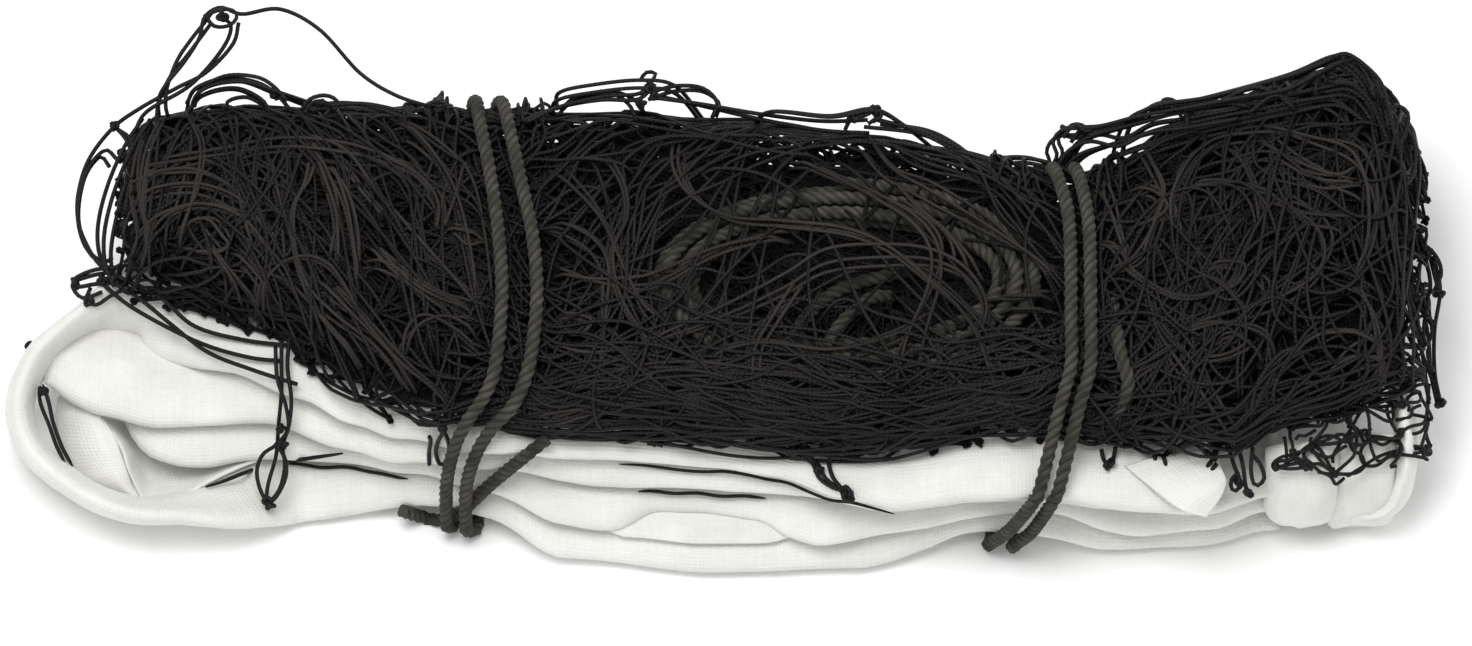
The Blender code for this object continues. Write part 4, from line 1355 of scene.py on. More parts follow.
@dataclass
class Netting:
    """The net body, 9.5 m by 1 m of knotted twine, gathered along the bundle."""

    bundle: Bundle
    finish: bpy.types.Material
    # Lighter twine of the top arcs: painted light
    painted_lit_finish: bpy.types.Material
    # Darker twine of the settled tangle and its knots: painted shade
    painted_shade_finish: bpy.types.Material
    # Deeper layers, darker again: partly the black twine, partly painted shade
    deep_finish: bpy.types.Material
    tied: np.ndarray
    twine: float = 0.0016
    mesh_side: float = 0.100
    columns: int = 96
    rows: int = 11
    folds: float = 9.0
    # How the knots are gathered: the gap at each end, how far they stray along the bundle and
    # over it, how many rows one swing over it takes, and how deep the lower ones lie
    end_gap: float = 0.012
    edge_gap: float = 0.008
    stray_along: float = 0.016
    stray_over: float = 0.10
    swing_rows: float = 2.6
    depth_share: float = 0.34
    # The crown's share that points keep to, in front and behind
    crown_reach: tuple[float, float] = (-0.985, 0.995)
    bend_ease: float = 0.45
    longest_handle: float = 0.30
    # Strands of the last layers that lie over the hank: from which share of the depth, how many
    over_from: float = 0.86
    over_share: float = 0.35
    # The strands' reach, as the mean, the spread and the limits of what it is above 1
    reach_spread: tuple[float, float] = (0.006, 0.016)
    reach_limits: tuple[float, float] = (-0.05, 0.03)
    pieces: int = 12
    smooth: int = 2
    sides: int = 5
    rounds: int = 90
    leg_share: float = 0.20
    lay: float = 0.006
    knot_points: int = 15
    knot_size: float = 0.0006
    core_points: int = 96
    core_lift: float = 0.0004
    # What the deeper layers draw back from the back, the foot, the wall and the shelf, as (y, z)
    core_feet: Table = ((-0.006, 0.0), (-0.004, 0.0012), (0.0012, 0.0012), (0.0012, 0.0004))
    core_taper: tuple[float, float] = (0.35, 0.022)
    core_floor: float = 0.001
    core_inset: float = 0.0075
    core_edge: float = 0.0110
    core_ends: tuple[float, float] = (0.014, 0.012)
    core_step: float = 0.004
    core_ruffle: float = 0.0016
    tie_reach: float = 0.011
    tie_press: float = 0.0034
    middle: tuple[float, float, float] = (0.0, 0.004, 0.075)
    # Groups in mm and degrees: heading 0 runs along the bundle, 90 runs over it to the back
    bights: tuple[Bights, ...] = (
        Bights(26, (-250, -150), (0.30, 0.95), 20, 24, (70, 130), (-190, -110)),
        Bights(24, (-246, -165), (0.10, 0.90), 75, 18, (50, 110), (-60, 60)),
        Bights(46, (-215, -90), (0.08, 0.85), -48, 20, (60, 150), (-80, 30)),
        Bights(30, (-250, -60), (0.84, 0.99), 0, 10, (50, 120), (-50, 30)),
        Bights(20, (-200, -90), (0.30, 0.95), -80, 16, (50, 110), (-40, 70)),
        Bights(34, (-110, -20), (0.12, 0.90), 25, 40, (60, 140), (-120, 120)),
        Bights(60, (-100, 140), (0.02, 0.20), 0, 8, (70, 170), (-26, 26), 0.0022),
        Bights(46, (-70, 135), (0.14, 0.40), 4, 18, (60, 150), (-80, 80)),
        Bights(34, (-60, 130), (0.35, 0.92), 32, 22, (90, 190), (-80, 40)),
        Bights(18, (-20, 130), (0.30, 0.90), -38, 18, (80, 160), (-90, 40)),
        Bights(26, (-90, 130), (0.86, 0.99), 0, 9, (60, 150), (-40, 30)),
        Bights(30, (-120, 130), (0.06, 0.34), 40, 50, (40, 80), (-300, 300)),
        Bights(40, (145, 275), (0.15, 0.90), 60, 90, (90, 150), (-280, -120)),
        Bights(30, (145, 275), (0.12, 0.92), 60, 90, (70, 140), (60, 240)),
        Bights(30, (145, 230), (0.06, 0.60), 48, 22, (60, 130), (-60, 60)),
        Bights(26, (140, 285), (0.03, 0.22), 2, 14, (50, 110), (-60, 60), 0.0022),
        Bights(24, (250, 292), (0.15, 0.90), 90, 14, (50, 120), (-50, 50)),
        Bights(26, (150, 280), (0.84, 0.99), 8, 12, (50, 120), (-60, 50)),
        Bights(50, (-35, 130), (0.15, 0.36), 3, 14, (80, 160), (-60, 60), 0.0040),
        Bights(34, (-48, 34), (0.24, 0.50), 20, 24, (60, 120), (-90, 90), 0.0040),
        Bights(20, (50, 132), (0.24, 0.44), -8, 20, (60, 120), (-90, 90), 0.0040),
        Bights(16, (-136, -112), (0.86, 0.98), 90, 14, (30, 60), (-40, 40), 0.0070),
        Bights(16, (-94, -76), (0.86, 0.98), 90, 14, (30, 60), (-40, 40), 0.0070),
        Bights(16, (112, 131), (0.86, 0.98), 90, 14, (30, 60), (-40, 40), 0.0070),
        Bights(16, (148, 166), (0.86, 0.98), 90, 14, (30, 60), (-40, 40), 0.0070),
    )
    # Share of the bights over the hank's far part that are left out, so that the rope shows
    hank_windows: float = 0.62
    hank_tries: int = 6
    hank_edge: float = 0.005
    hank_near: float = 0.012
    # The ends of bights and arcs sink by this, over lengths that fade it in
    dive: float = 0.005
    bight_fade: float = 0.012
    arc_fade: float = 0.010
    bight_step: float = 0.0028
    bight_edge: float = 0.004
    # Shares of the girth that the front and the back leave free; the first is for the front rows
    front_shares: tuple[float, float] = (0.006, 0.03)
    back_share: float = 0.993
    # Long arcs that the photograph shows on top of the netting, as (column, row)
    arcs: tuple[tuple[tuple[float, float], ...], ...] = (
        ((149, 164), (222, 152), (284, 141), (345, 146), (391, 161), (421, 179), (440, 207)),
        ((134, 244), (161, 219), (201, 207), (238, 216), (262, 238), (278, 268)),
        ((131, 213), (155, 192), (198, 187), (235, 198), (259, 219), (274, 247)),
        ((134, 189), (158, 175), (198, 173), (232, 189), (250, 206)),
        ((186, 238), (189, 227), (210, 222), (225, 238), (232, 250), (213, 256), (192, 244)),
        ((205, 236), (222, 262), (238, 286), (246, 304)),
        ((228, 246), (250, 266), (268, 288), (276, 306)),
        ((271, 149), (281, 198), (296, 244), (311, 287), (339, 317), (375, 345), (406, 378)),
        ((311, 152), (308, 182), (297, 213), (299, 250), (308, 290), (327, 323), (363, 360)),
        ((314, 152), (327, 182), (339, 219), (342, 268)),
        ((330, 158), (348, 204), (357, 250), (363, 287)),
        ((296, 133), (345, 152), (375, 189), (406, 225), (437, 259), (467, 293), (489, 320)),
        ((360, 155), (394, 164), (424, 182), (440, 207), (437, 238)),
        ((267, 323), (268, 287), (284, 268), (308, 259), (333, 268), (351, 293), (366, 320),
         (394, 354), (412, 378)),
        ((406, 360), (421, 329), (446, 319), (467, 326), (486, 342)),
        ((437, 228), (467, 234), (495, 241)),
        ((467, 155), (461, 182), (452, 213), (443, 234)),
        ((363, 256), (394, 268), (424, 287), (458, 305), (486, 320)),
        ((375, 240), (404, 276), (440, 300), (482, 314)),
        ((314, 274), (360, 320), (406, 366), (437, 391), (461, 421)),
        ((150, 118), (136, 160), (132, 200), (140, 240), (128, 272)),
        ((168, 112), (150, 160), (146, 210), (156, 250)),
        ((184, 112), (202, 150), (196, 200), (180, 250)),
        ((250, 130), (240, 180), (250, 230), (262, 262)),
        ((400, 120), (430, 150), (455, 190), (470, 240), (480, 300)),
        ((544, 340), (582, 354), (628, 350), (680, 329), (733, 304), (786, 276), (828, 252),
         (891, 248), (936, 255), (968, 276), (984, 308), (975, 340)),
        ((673, 140), (673, 171), (691, 199), (729, 220), (779, 224), (842, 231), (884, 248),
         (919, 276), (954, 308), (975, 340), (992, 389), (1010, 424)),
        ((786, 157), (838, 182), (877, 203), (912, 227), (929, 255), (926, 290), (905, 340),
         (891, 396)),
        ((866, 136), (891, 171), (926, 192), (978, 224), (1024, 255), (1059, 283)),
        ((887, 175), (912, 206), (947, 238), (971, 276)),
        ((764, 417), (754, 389), (754, 354), (768, 326), (786, 297), (800, 273)),
        ((603, 150), (624, 185), (628, 220), (614, 255), (621, 297), (642, 333), (666, 361)),
        ((545, 168), (575, 192), (603, 224), (624, 269), (645, 308), (673, 326)),
        ((547, 273), (593, 282), (638, 280), (663, 273), (720, 250), (790, 236)),
        ((545, 220), (582, 234), (603, 252), (610, 276), (607, 319), (603, 361), (607, 396)),
        ((540, 431), (593, 417), (645, 403), (698, 396), (750, 389)),
        ((545, 382), (610, 389), (680, 406), (750, 417), (821, 406), (891, 406), (978, 413),
         (1049, 441)),
        ((768, 440), (768, 427), (786, 410), (814, 410), (842, 427), (870, 448)),
        ((905, 361), (912, 354), (926, 361), (922, 382), (908, 382)),
        ((919, 326), (933, 354), (954, 382), (989, 403), (1049, 413)),
        ((554, 322), (561, 315), (593, 322), (582, 336), (561, 329)),
        ((694, 406), (698, 424), (715, 436), (729, 431), (722, 417)),
        ((624, 403), (642, 382), (652, 392), (649, 406), (614, 420)),
        ((821, 444), (835, 427), (856, 396), (877, 378)),
        ((673, 371), (715, 389), (757, 417), (786, 444)),
        ((985, 297), (1020, 299), (1056, 297)),
        ((989, 311), (1022, 312), (1056, 310)),
        ((700, 360), (760, 345), (830, 352), (890, 338), (930, 318)),
        ((560, 400), (620, 372), (690, 364), (760, 372), (830, 384)),
        ((1086, 243), (1115, 253), (1132, 276), (1165, 296), (1194, 299), (1224, 291),
         (1250, 273)),
        ((1138, 135), (1151, 165), (1161, 197), (1151, 227), (1138, 250), (1122, 266),
         (1089, 276)),
        ((1122, 158), (1106, 178), (1102, 197), (1109, 217), (1119, 250), (1125, 270)),
        ((1171, 243), (1168, 204), (1184, 168), (1204, 148), (1230, 138), (1290, 134)),
        ((1224, 142), (1243, 171), (1253, 204), (1256, 237)),
        ((1250, 138), (1276, 155), (1302, 168), (1335, 178), (1355, 165)),
        ((1263, 151), (1289, 171), (1322, 184), (1365, 184)),
        ((1253, 125), (1302, 138), (1345, 151), (1361, 178), (1365, 210), (1361, 250),
         (1345, 283)),
        ((1181, 184), (1224, 184), (1263, 194), (1276, 204), (1302, 217), (1345, 219)),
        ((1243, 204), (1279, 210), (1309, 227), (1320, 253), (1309, 279), (1270, 302), (1224, 315),
         (1178, 329)),
        ((1171, 335), (1204, 325), (1237, 329), (1263, 342), (1273, 368)),
        ((1204, 276), (1207, 266), (1237, 266), (1240, 276), (1224, 292), (1210, 283)),
        ((1243, 270), (1263, 283), (1266, 302)),
        ((1315, 391), (1319, 378), (1342, 361), (1368, 361), (1378, 374), (1368, 394), (1342, 404),
         (1319, 394)),
        ((1266, 417), (1270, 384), (1289, 355), (1312, 338), (1348, 335), (1374, 348),
         (1394, 355)),
        ((1145, 289), (1151, 329), (1171, 361), (1191, 388), (1210, 417), (1230, 446)),
        ((1115, 401), (1138, 368), (1161, 351), (1181, 335)),
        ((1345, 283), (1365, 312), (1374, 342), (1374, 384), (1365, 420)),
        ((1181, 358), (1214, 358), (1240, 345), (1224, 335), (1201, 345)),
        ((1122, 188), (1151, 194), (1165, 210), (1148, 224), (1115, 233)),
        ((1165, 368), (1188, 388), (1171, 417), (1165, 444)),
        ((1243, 427), (1250, 388), (1276, 355), (1310, 350)))
    echoes: int = 2
    echo_spread: float = 5.0
    arc_lift: float = 0.0022
    # Heights, as (first, last, count), at which a place in the photograph is looked for
    seen_heights: tuple[float, float, int] = (0.104, 0.062, 106)
    wall_counts: dict[Wall, int] = field(
        default_factory=lambda: {Wall.BACK: 170, Wall.LEFT_END: 34, Wall.RIGHT_END: 34})
    wall_lengths: tuple[float, float] = (0.050, 0.140)
    wall_heights: tuple[float, float] = (0.002, 0.064)
    wall_edges: tuple[float, float] = (0.008, 0.002)
    end_depths: tuple[float, float] = (0.010, 0.008)
    # Share of the foot's inset that the back wall has at each height
    back_inset: Table = ((0.0, 1.0), (0.031, 0.25), (0.062, 0.0))

    def shares(self, facts: Facts, x: np.ndarray, *keys: str) -> list[np.ndarray]:
        """The outline's values of the given names at each x."""
        return [np.interp(x, facts["x"], facts[key]) for key in keys]

    def limits(self) -> Facts:
        """Outline of the netting along X, on places 2 mm apart."""
        bundle = self.bundle
        xs = np.arange(bundle.net_left - 0.004, bundle.net_right + 0.006, 0.002)
        facts: Facts = {"x": xs}
        facts["front"] = np.array([follow(bundle.net_front_mm, x) for x in xs])
        facts["back"] = np.array([follow(bundle.net_back_mm, x) for x in xs])
        facts["shelf"] = np.array([bundle.shelf_height(x) for x in xs])
        facts["foot"] = np.array([bundle.tie_rise(x) for x in xs])
        facts["dip"] = np.array([bundle.coil_dip(x) for x in xs]) * bundle.coil_pocket
        facts["top"] = np.array([bundle.net_top - follow(bundle.drop_mm, x) for x in xs])
        return facts

    def keep_inside(self, points: np.ndarray, slack: np.ndarray, over: np.ndarray,
                    facts: Facts) -> np.ndarray:
        """Move points that lie outside the gathered netting to its surface.

        Args:
            points: Places, as (strands, points, 3).
            slack: How far each strand may reach, as a factor near 1.
            over: 1 for a strand that lies over the hank of rope, else 0.
            facts: Outline from limits.

        Returns:
            The moved points.
        """
        bundle = self.bundle
        x = np.clip(points[..., 0], bundle.net_left + 0.001, bundle.net_right - 0.001)
        front, back, shelf, foot, dip, top = self.shares(facts, x, "front", "back", "shelf", "foot",
                                                         "dip", "top")
        slack = slack[:, None]
        top = top - dip * (1 - over[:, None])
        middle, half = (front + back) / 2, (back - front) / 2
        u = (points[..., 1] - middle) / half
        v = (points[..., 2] - shelf) / (top - shelf)
        power = bundle.crown_power
        u = np.clip(u, self.crown_reach[0], self.crown_reach[1] * slack)
        roof = slack * np.maximum(1 - np.abs(u / slack) ** power, 0) ** (1 / power)
        y = middle + u * half
        z = np.where(v > 0, shelf + np.minimum(v, roof) * (top - shelf), points[..., 2])
        radius = self.twine / 2
        on_shelf = (z < shelf + radius) & (y < bundle.net_wall + radius)
        nearer_back = (y > bundle.net_wall - 0.006) & (z < shelf - 0.006)
        z = np.where(on_shelf & ~nearer_back, shelf + radius, z)
        y = np.where(on_shelf & nearer_back, bundle.net_wall + radius, y)
        y = np.where(z < shelf, np.minimum(y, back - bundle.foot_inset * (1 - z / shelf)), y)
        z = np.maximum(z, foot + radius)
        floor_over = shelf + (top - shelf) * np.maximum(1 - np.abs(u) ** power, 0) ** (1 / power)
        z = np.where((over[:, None] > 0) & (dip > 0.004), np.maximum(z, floor_over - 0.0005), z)
        return np.stack([x, y, z], axis=-1)

    def knots(self, facts: Facts, rng: np.random.Generator) -> tuple[np.ndarray, np.ndarray]:
        """Place the net's knots: folded to and fro along X and gathered across.

        Args:
            facts: Outline from limits.
            rng: Source of the disorder.

        Returns:
            The knots' places as (columns, rows, 3), and the share over the depth of each column.
        """
        bundle = self.bundle
        column, row = np.meshgrid(np.arange(self.columns), np.arange(self.rows), indexing="ij")
        travel = column / (self.columns - 1) * self.folds
        share = travel % 1
        share = np.where(np.floor(travel) % 2 == 0, share, 1 - share)
        depth = column / (self.columns - 1)
        span = bundle.net_right - bundle.net_left - 2 * self.end_gap
        x = bundle.net_left + self.end_gap + share * span
        x = np.clip(x + rng.normal(0, self.stray_along, x.shape), bundle.net_left + self.edge_gap,
                    bundle.net_right - self.edge_gap)
        swing = row / self.swing_rows + rng.random((self.columns, 1)) * 2
        across = np.abs((swing % 2) - 1)
        across = np.clip(across + rng.normal(0, self.stray_over, x.shape), 0.03, 0.97)
        front, back, shelf, foot, top = self.shares(facts, x, "front", "back", "shelf", "foot",
                                                    "top")
        in_leg = depth < self.leg_share
        lift = 1 - self.depth_share * rng.random(x.shape) ** 1.4
        middle, half = (front + back) / 2, (back - front) / 2
        u = 2 * across - 1
        rise = (1 - np.abs(u) ** bundle.crown_power) ** (1 / bundle.crown_power)
        y = np.where(in_leg, back - bundle.foot_inset - 0.002 - 0.006 * across, middle + half * u)
        up = row / (self.rows - 1)
        z = np.where(in_leg, foot + 0.004 + (shelf + 0.02 - foot) * up,
                     shelf + (top - shelf) * rise * lift)
        return np.stack([x, y, z], axis=-1), depth

    def edges(self, count: tuple[int, int]) -> np.ndarray:
        """Pairs of knots that a stretch of twine joins, along and across the net.

        Args:
            count: How many knots there are along and across.

        Returns:
            The pairs, the lengthwise first.
        """
        index = np.arange(count[0] * count[1]).reshape(count)
        lengthwise = np.stack([index[:-1], index[1:]], axis=-1).reshape(-1, 2)
        crosswise = np.stack([index[:, :-1], index[:, 1:]], axis=-1).reshape(-1, 2)
        return np.concatenate([lengthwise, crosswise])

    def first_lines(self, knots: np.ndarray, pairs: np.ndarray, lengthwise: int,
                    rng: np.random.Generator) -> np.ndarray:
        """Curves of the right length between knots, leaving each knot in its own directions.

        Args:
            knots: Places of the knots.
            pairs: Knots at the two ends of each stretch.
            lengthwise: How many stretches run along the net.
            rng: Source of the disorder.

        Returns:
            The curves, as (stretches, points, 3).
        """
        heading = rng.random(len(knots)) * 2 * math.pi
        tilt = rng.normal(0, 0.12, len(knots))
        one = np.stack([np.cos(heading), np.sin(heading), tilt], axis=-1)
        other = np.stack([-np.sin(heading), np.cos(heading), -tilt], axis=-1)
        along = np.arange(len(pairs))[:, None] < lengthwise
        leave = np.where(along, one[pairs[:, 0]], other[pairs[:, 0]])
        arrive = np.where(along, one[pairs[:, 1]], other[pairs[:, 1]])
        start, end = knots[pairs[:, 0]], knots[pairs[:, 1]]
        t = np.linspace(0, 1, self.pieces + 1)[None, :, None]

        def bezier(size: np.ndarray) -> np.ndarray:
            """Cubic curves whose handles have the given size."""
            a, b = start + leave * size[:, None], end - arrive * size[:, None]
            return (start[:, None] * (1 - t) ** 3 + 3 * a[:, None] * t * (1 - t) ** 2
                    + 3 * b[:, None] * t * t * (1 - t) + end[:, None] * t ** 3)

        low, high = np.zeros(len(pairs)), np.full(len(pairs), self.longest_handle)
        for _ in range(18):
            size = (low + high) / 2
            length = np.linalg.norm(np.diff(bezier(size), axis=1), axis=2).sum(axis=1)
            short = length < self.mesh_side
            low, high = np.where(short, size, low), np.where(short, high, size)
        return bezier((low + high) / 2)

    def relax(self, lines: np.ndarray, pairs: np.ndarray, knot_count: int, slack: np.ndarray,
              over: np.ndarray, facts: Facts) -> np.ndarray:
        """Let the stretches of twine settle: each keeps its length, bends evenly and stays in.

        Args:
            lines: First curves, as (stretches, points, 3).
            pairs: Knots at the two ends of each.
            knot_count: How many knots there are.
            slack: Reach of each stretch, for keep_inside.
            over: Which stretches lie over the hank, for keep_inside.
            facts: Outline from limits.

        Returns:
            The settled curves.
        """
        rest = self.mesh_side / self.pieces
        for _ in range(self.rounds):
            bend = 0.5 * (lines[:, :-2] + lines[:, 2:]) - lines[:, 1:-1]
            lines[:, 1:-1] += self.bend_ease * bend
            for first in (0, 1):
                near, far = lines[:, first:-1:2], lines[:, first + 1::2]
                count = min(near.shape[1], far.shape[1])
                near, far = near[:, :count], far[:, :count]
                gap = far - near
                size = np.maximum(np.linalg.norm(gap, axis=2, keepdims=True), TINY)
                push = 0.5 * gap * (1 - rest / size)
                lines[:, first:first + 2 * count:2] += push
                lines[:, first + 1:first + 1 + 2 * count:2] -= push
            total = np.zeros((knot_count, 3))
            seen = np.zeros(knot_count)
            for end, column in ((0, 0), (-1, 1)):
                np.add.at(total, pairs[:, column], lines[:, end])
                np.add.at(seen, pairs[:, column], 1)
            joined = total / np.maximum(seen, 1)[:, None]
            lines[:, 0], lines[:, -1] = joined[pairs[:, 0]], joined[pairs[:, 1]]
            lines = self.keep_inside(lines, slack, over, facts)
        return lines

    def press_under_ties(self, lines: np.ndarray) -> np.ndarray:
        """Press points of the netting down where a tie is drawn over them.

        Args:
            lines: Points, in any rows.

        Returns:
            The moved points, in the same rows.
        """
        flat = lines.reshape(-1, 3)
        nearest = np.full(len(flat), np.inf)
        for spot in self.tied:
            nearest = np.minimum(nearest, np.linalg.norm(flat - spot, axis=1))
        inward = np.array(self.middle) - flat
        inward[:, 0] = 0
        press = self.tie_press * eased(1 - nearest / self.tie_reach)
        return (flat + normalised(inward) * press[:, None]).reshape(lines.shape)

    def bight(self, group: Bights, rng: np.random.Generator) -> np.ndarray:
        """One long bight of twine over the crown, whose ends dive into the netting.

        Args:
            group: The way that it lies.
            rng: Source of the disorder.

        Returns:
            Its points, in the bundle's own frame.
        """
        bundle = self.bundle
        x = rng.uniform(*group.xs) * MM
        share = rng.uniform(*group.shares)
        crown = bundle.crown_facets(x, False)
        girth = sum((b - a).length for a, b in zip(crown, crown[1:]))
        length = rng.uniform(*group.length) * MM
        turn = math.radians(rng.uniform(*group.turn))
        heading = math.radians(rng.normal(group.heading, group.spread))
        count = max(12, round(length / self.bight_step))
        t = np.linspace(-0.5, 0.5, count)
        wobble = rng.normal(0, 0.16, 3)
        angle = (heading + turn * t + wobble[0] * np.sin(5 * t) + wobble[1] * np.sin(11 * t)
                 + wobble[2] * np.cos(8 * t))
        step = length / (count - 1)
        xs = np.cumsum(np.cos(angle)) * step
        ss = np.cumsum(np.sin(angle)) * step
        xs, ss = xs - xs.mean() + x, ss - ss.mean() + share * girth
        lowest = self.front_shares[group.shares[0] >= 0.1] * girth
        xs = fitted(xs, bundle.net_left + self.bight_edge, bundle.net_right - self.bight_edge)
        ss = fitted(ss, lowest, self.back_share * girth)
        fade = eased(np.minimum(t + 0.5, 0.5 - t) * length / self.bight_fade)
        wave = 0.5 + 0.5 * np.sin(9 * t + rng.uniform(0, 6.3))
        lift = group.lift * (0.25 + rng.random()) * (0.35 + 0.65 * wave)
        lift = lift * fade - self.dive * (1 - fade)
        return np.array([bundle.skin_point(a, s / girth, h, False)
                         for a, s, h in zip(xs, ss, lift)])

    def seen_on_top(self, line: np.ndarray, facts: Facts) -> np.ndarray:
        """Places on the netting's crown that the photograph shows at columns and rows.

        Args:
            line: Columns and rows, as (points, 2).
            facts: Outline from limits.

        Returns:
            Their places, in the bundle's own frame.
        """
        bundle = self.bundle
        heights = np.linspace(*self.seen_heights)
        x = (line[:, 0] - bundle.picture_middle[0]) * bundle.pixel
        x = np.clip(x, bundle.net_left + 0.003, bundle.net_right - 0.003)
        up = (bundle.picture_middle[1] - line[:, 1])[:, None] * bundle.pixel
        rise = (heights - bundle.middle_height) * math.cos(bundle.elevation)
        y = (up - rise) / math.sin(bundle.elevation) + bundle.middle_depth
        front, back, shelf, top = (values[:, None] for values in
                                   self.shares(facts, x, "front", "back", "shelf", "top"))
        edge = self.crown_reach[0]
        u = np.clip((y - (front + back) / 2) / ((back - front) / 2), edge, -edge)
        arch = (1 - np.abs(u) ** bundle.crown_power) ** (1 / bundle.crown_power)
        roof = shelf + (top - shelf) * arch
        under = heights <= roof
        pick = np.where(under.any(axis=1), under.argmax(axis=1), (heights - roof).argmin(axis=1))
        every = np.arange(len(line))
        y = ((front + back) / 2 + u * (back - front) / 2)[every, pick]
        return np.stack([x, y, roof[every, pick]], axis=1)

    def lay_arcs(self, facts: Facts, rng: np.random.Generator) -> Laid:
        """Lay the long arcs on top, each with lower ones beside it, and dive their ends.

        Args:
            facts: Outline from limits.
            rng: Source of the disorder.

        Returns:
            The strands of each stretch.
        """
        laid: Laid = {stretch: [] for stretch in Stretch}
        for arc in self.arcs:
            for echo in range(self.echoes + 1):
                keys = np.array(arc, dtype=float)
                t = np.linspace(-1, 1, len(keys))[:, None]
                if echo:
                    keys = keys + rng.normal(0, self.echo_spread, (1, 2))
                    keys += rng.normal(0, self.echo_spread, (1, 2)) * t
                    keys += rng.normal(0, self.echo_spread, (1, 2)) * np.cos(3 * t)
                drawn = curve_through(keys[None], 10)[0]
                line = evenly(self.seen_on_top(drawn, facts), self.bight_step)
                count = len(line)
                t = np.linspace(0, 1, count)
                length = count * self.bight_step
                fade = eased(np.minimum(t, 1 - t) * length / self.arc_fade)
                lift = self.arc_lift if echo == 0 else self.arc_lift * rng.uniform(0, 0.9)
                line[:, 2] += lift * fade - self.dive * (1 - fade)
                self.keep(laid, line)
        return laid

    def keep(self, laid: Laid, line: np.ndarray) -> None:
        """Add a strand to the stretch that its middle lies in, pressed where a tie crosses it.

        Args:
            laid: The strands of each stretch, which it is added to.
            line: The strand's points.
        """
        x = line[len(line) // 2][0]
        for stretch, lines in laid.items():
            if stretch.value[0] <= x < stretch.value[1]:
                lines.append(self.press_under_ties(line))

    def wall_line(self, wall: Wall, facts: Facts, rng: np.random.Generator) -> np.ndarray:
        """One long bight of twine on an upright face, whose ends dive into the netting.

        Args:
            wall: The face.
            facts: Outline from limits.
            rng: Source of the disorder.

        Returns:
            Its points, in the bundle's own frame.
        """
        bundle = self.bundle
        length = rng.uniform(*self.wall_lengths)
        count = round(length / self.bight_step)
        t = np.linspace(-0.5, 0.5, count)
        angle = rng.normal(0, 0.5) + rng.uniform(-2.6, 2.6) * t + rng.normal(0, 0.2) * np.sin(9 * t)
        step = length / (count - 1)
        along, up = np.cumsum(np.cos(angle)) * step, np.cumsum(np.sin(angle)) * step
        end = bundle.net_left if wall is Wall.LEFT_END else bundle.net_right
        span = (bundle.net_left + self.wall_edges[0], bundle.net_right - self.wall_edges[0])
        if wall is not Wall.BACK:
            back = float(np.interp(end, facts["x"], facts["back"]))
            span = (bundle.net_wall + self.wall_edges[1], back - bundle.foot_inset)
        along = fitted(along, *span, rng.uniform(*span))
        up = fitted(up, *self.wall_heights, rng.uniform(*self.wall_heights))
        fade = eased(np.minimum(t + 0.5, 0.5 - t) * length / self.bight_fade)
        lift = self.arc_lift * rng.uniform(0.1, 0.8) * fade - self.dive * (1 - fade)
        if wall is not Wall.BACK:
            depth = self.end_depths[wall is Wall.RIGHT_END]
            x = np.full(count, end - wall.value * depth) + wall.value * lift
            return np.stack([x, along, up], axis=1)
        back, foot = self.shares(facts, along, "back", "foot")
        inset = np.interp(up, *zip(*self.back_inset)) * bundle.foot_inset
        return np.stack([along, back - inset + lift, np.maximum(up, foot + self.twine)], axis=1)

    def lay_walls(self, facts: Facts, rng: np.random.Generator) -> Laid:
        """Lay bights over the back wall and the two ends, which the photograph doesn't show.

        Args:
            facts: Outline from limits.
            rng: Source of the disorder.

        Returns:
            The strands of each stretch.
        """
        laid: Laid = {stretch: [] for stretch in Stretch}
        for wall, count in self.wall_counts.items():
            for _ in range(count):
                self.keep(laid, self.wall_line(wall, facts, rng))
        return laid

    def over_hank(self, place: np.ndarray) -> bool:
        """Whether a place lies over the hank of rope.

        Args:
            place: The place.

        Returns:
            True over the hank.
        """
        centre, half = self.bundle.coil_centre, self.bundle.coil_half
        across = (place[0] - centre[0]) / (half[0] + self.hank_edge)
        along = (place[1] - centre[1]) / (half[1] + self.hank_edge)
        return bool(across * across + along * along < 1)

    def lay_bights(self, rng: np.random.Generator) -> Laid:
        """Lay every group of long bights, with gaps that leave the rope in view.

        Args:
            rng: Source of the disorder.

        Returns:
            The strands of each stretch.
        """
        laid: Laid = {stretch: [] for stretch in Stretch}
        for group in self.bights:
            for _ in range(group.count):
                line = self.bight(group, rng)
                for _ in range(self.hank_tries):
                    if not (self.over_hank(line[0]) or self.over_hank(line[-1])):
                        break
                    line = self.bight(group, rng)
                middle = line[len(line) // 2]
                farther = middle[1] > self.bundle.coil_centre[1] - self.hank_near
                in_view = self.over_hank(middle) and farther
                if not (in_view and rng.random() < self.hank_windows):
                    self.keep(laid, line)
        return laid

    def knot_lines(self, places: np.ndarray, rng: np.random.Generator) -> np.ndarray:
        """Small closed windings of twine, one for each knot.

        Args:
            places: Places of the knots.
            rng: Source of the disorder.

        Returns:
            The windings, as (knots, points, 3).
        """
        shape = knot_shape(self.knot_points, 1.0) * self.knot_size
        basis, _ = np.linalg.qr(rng.normal(0, 1, (len(places), 3, 3)))
        shapes = np.broadcast_to(shape, (len(places), *shape.shape))
        return places[:, None, :] + np.einsum("kij,ktj->kti", basis, shapes)

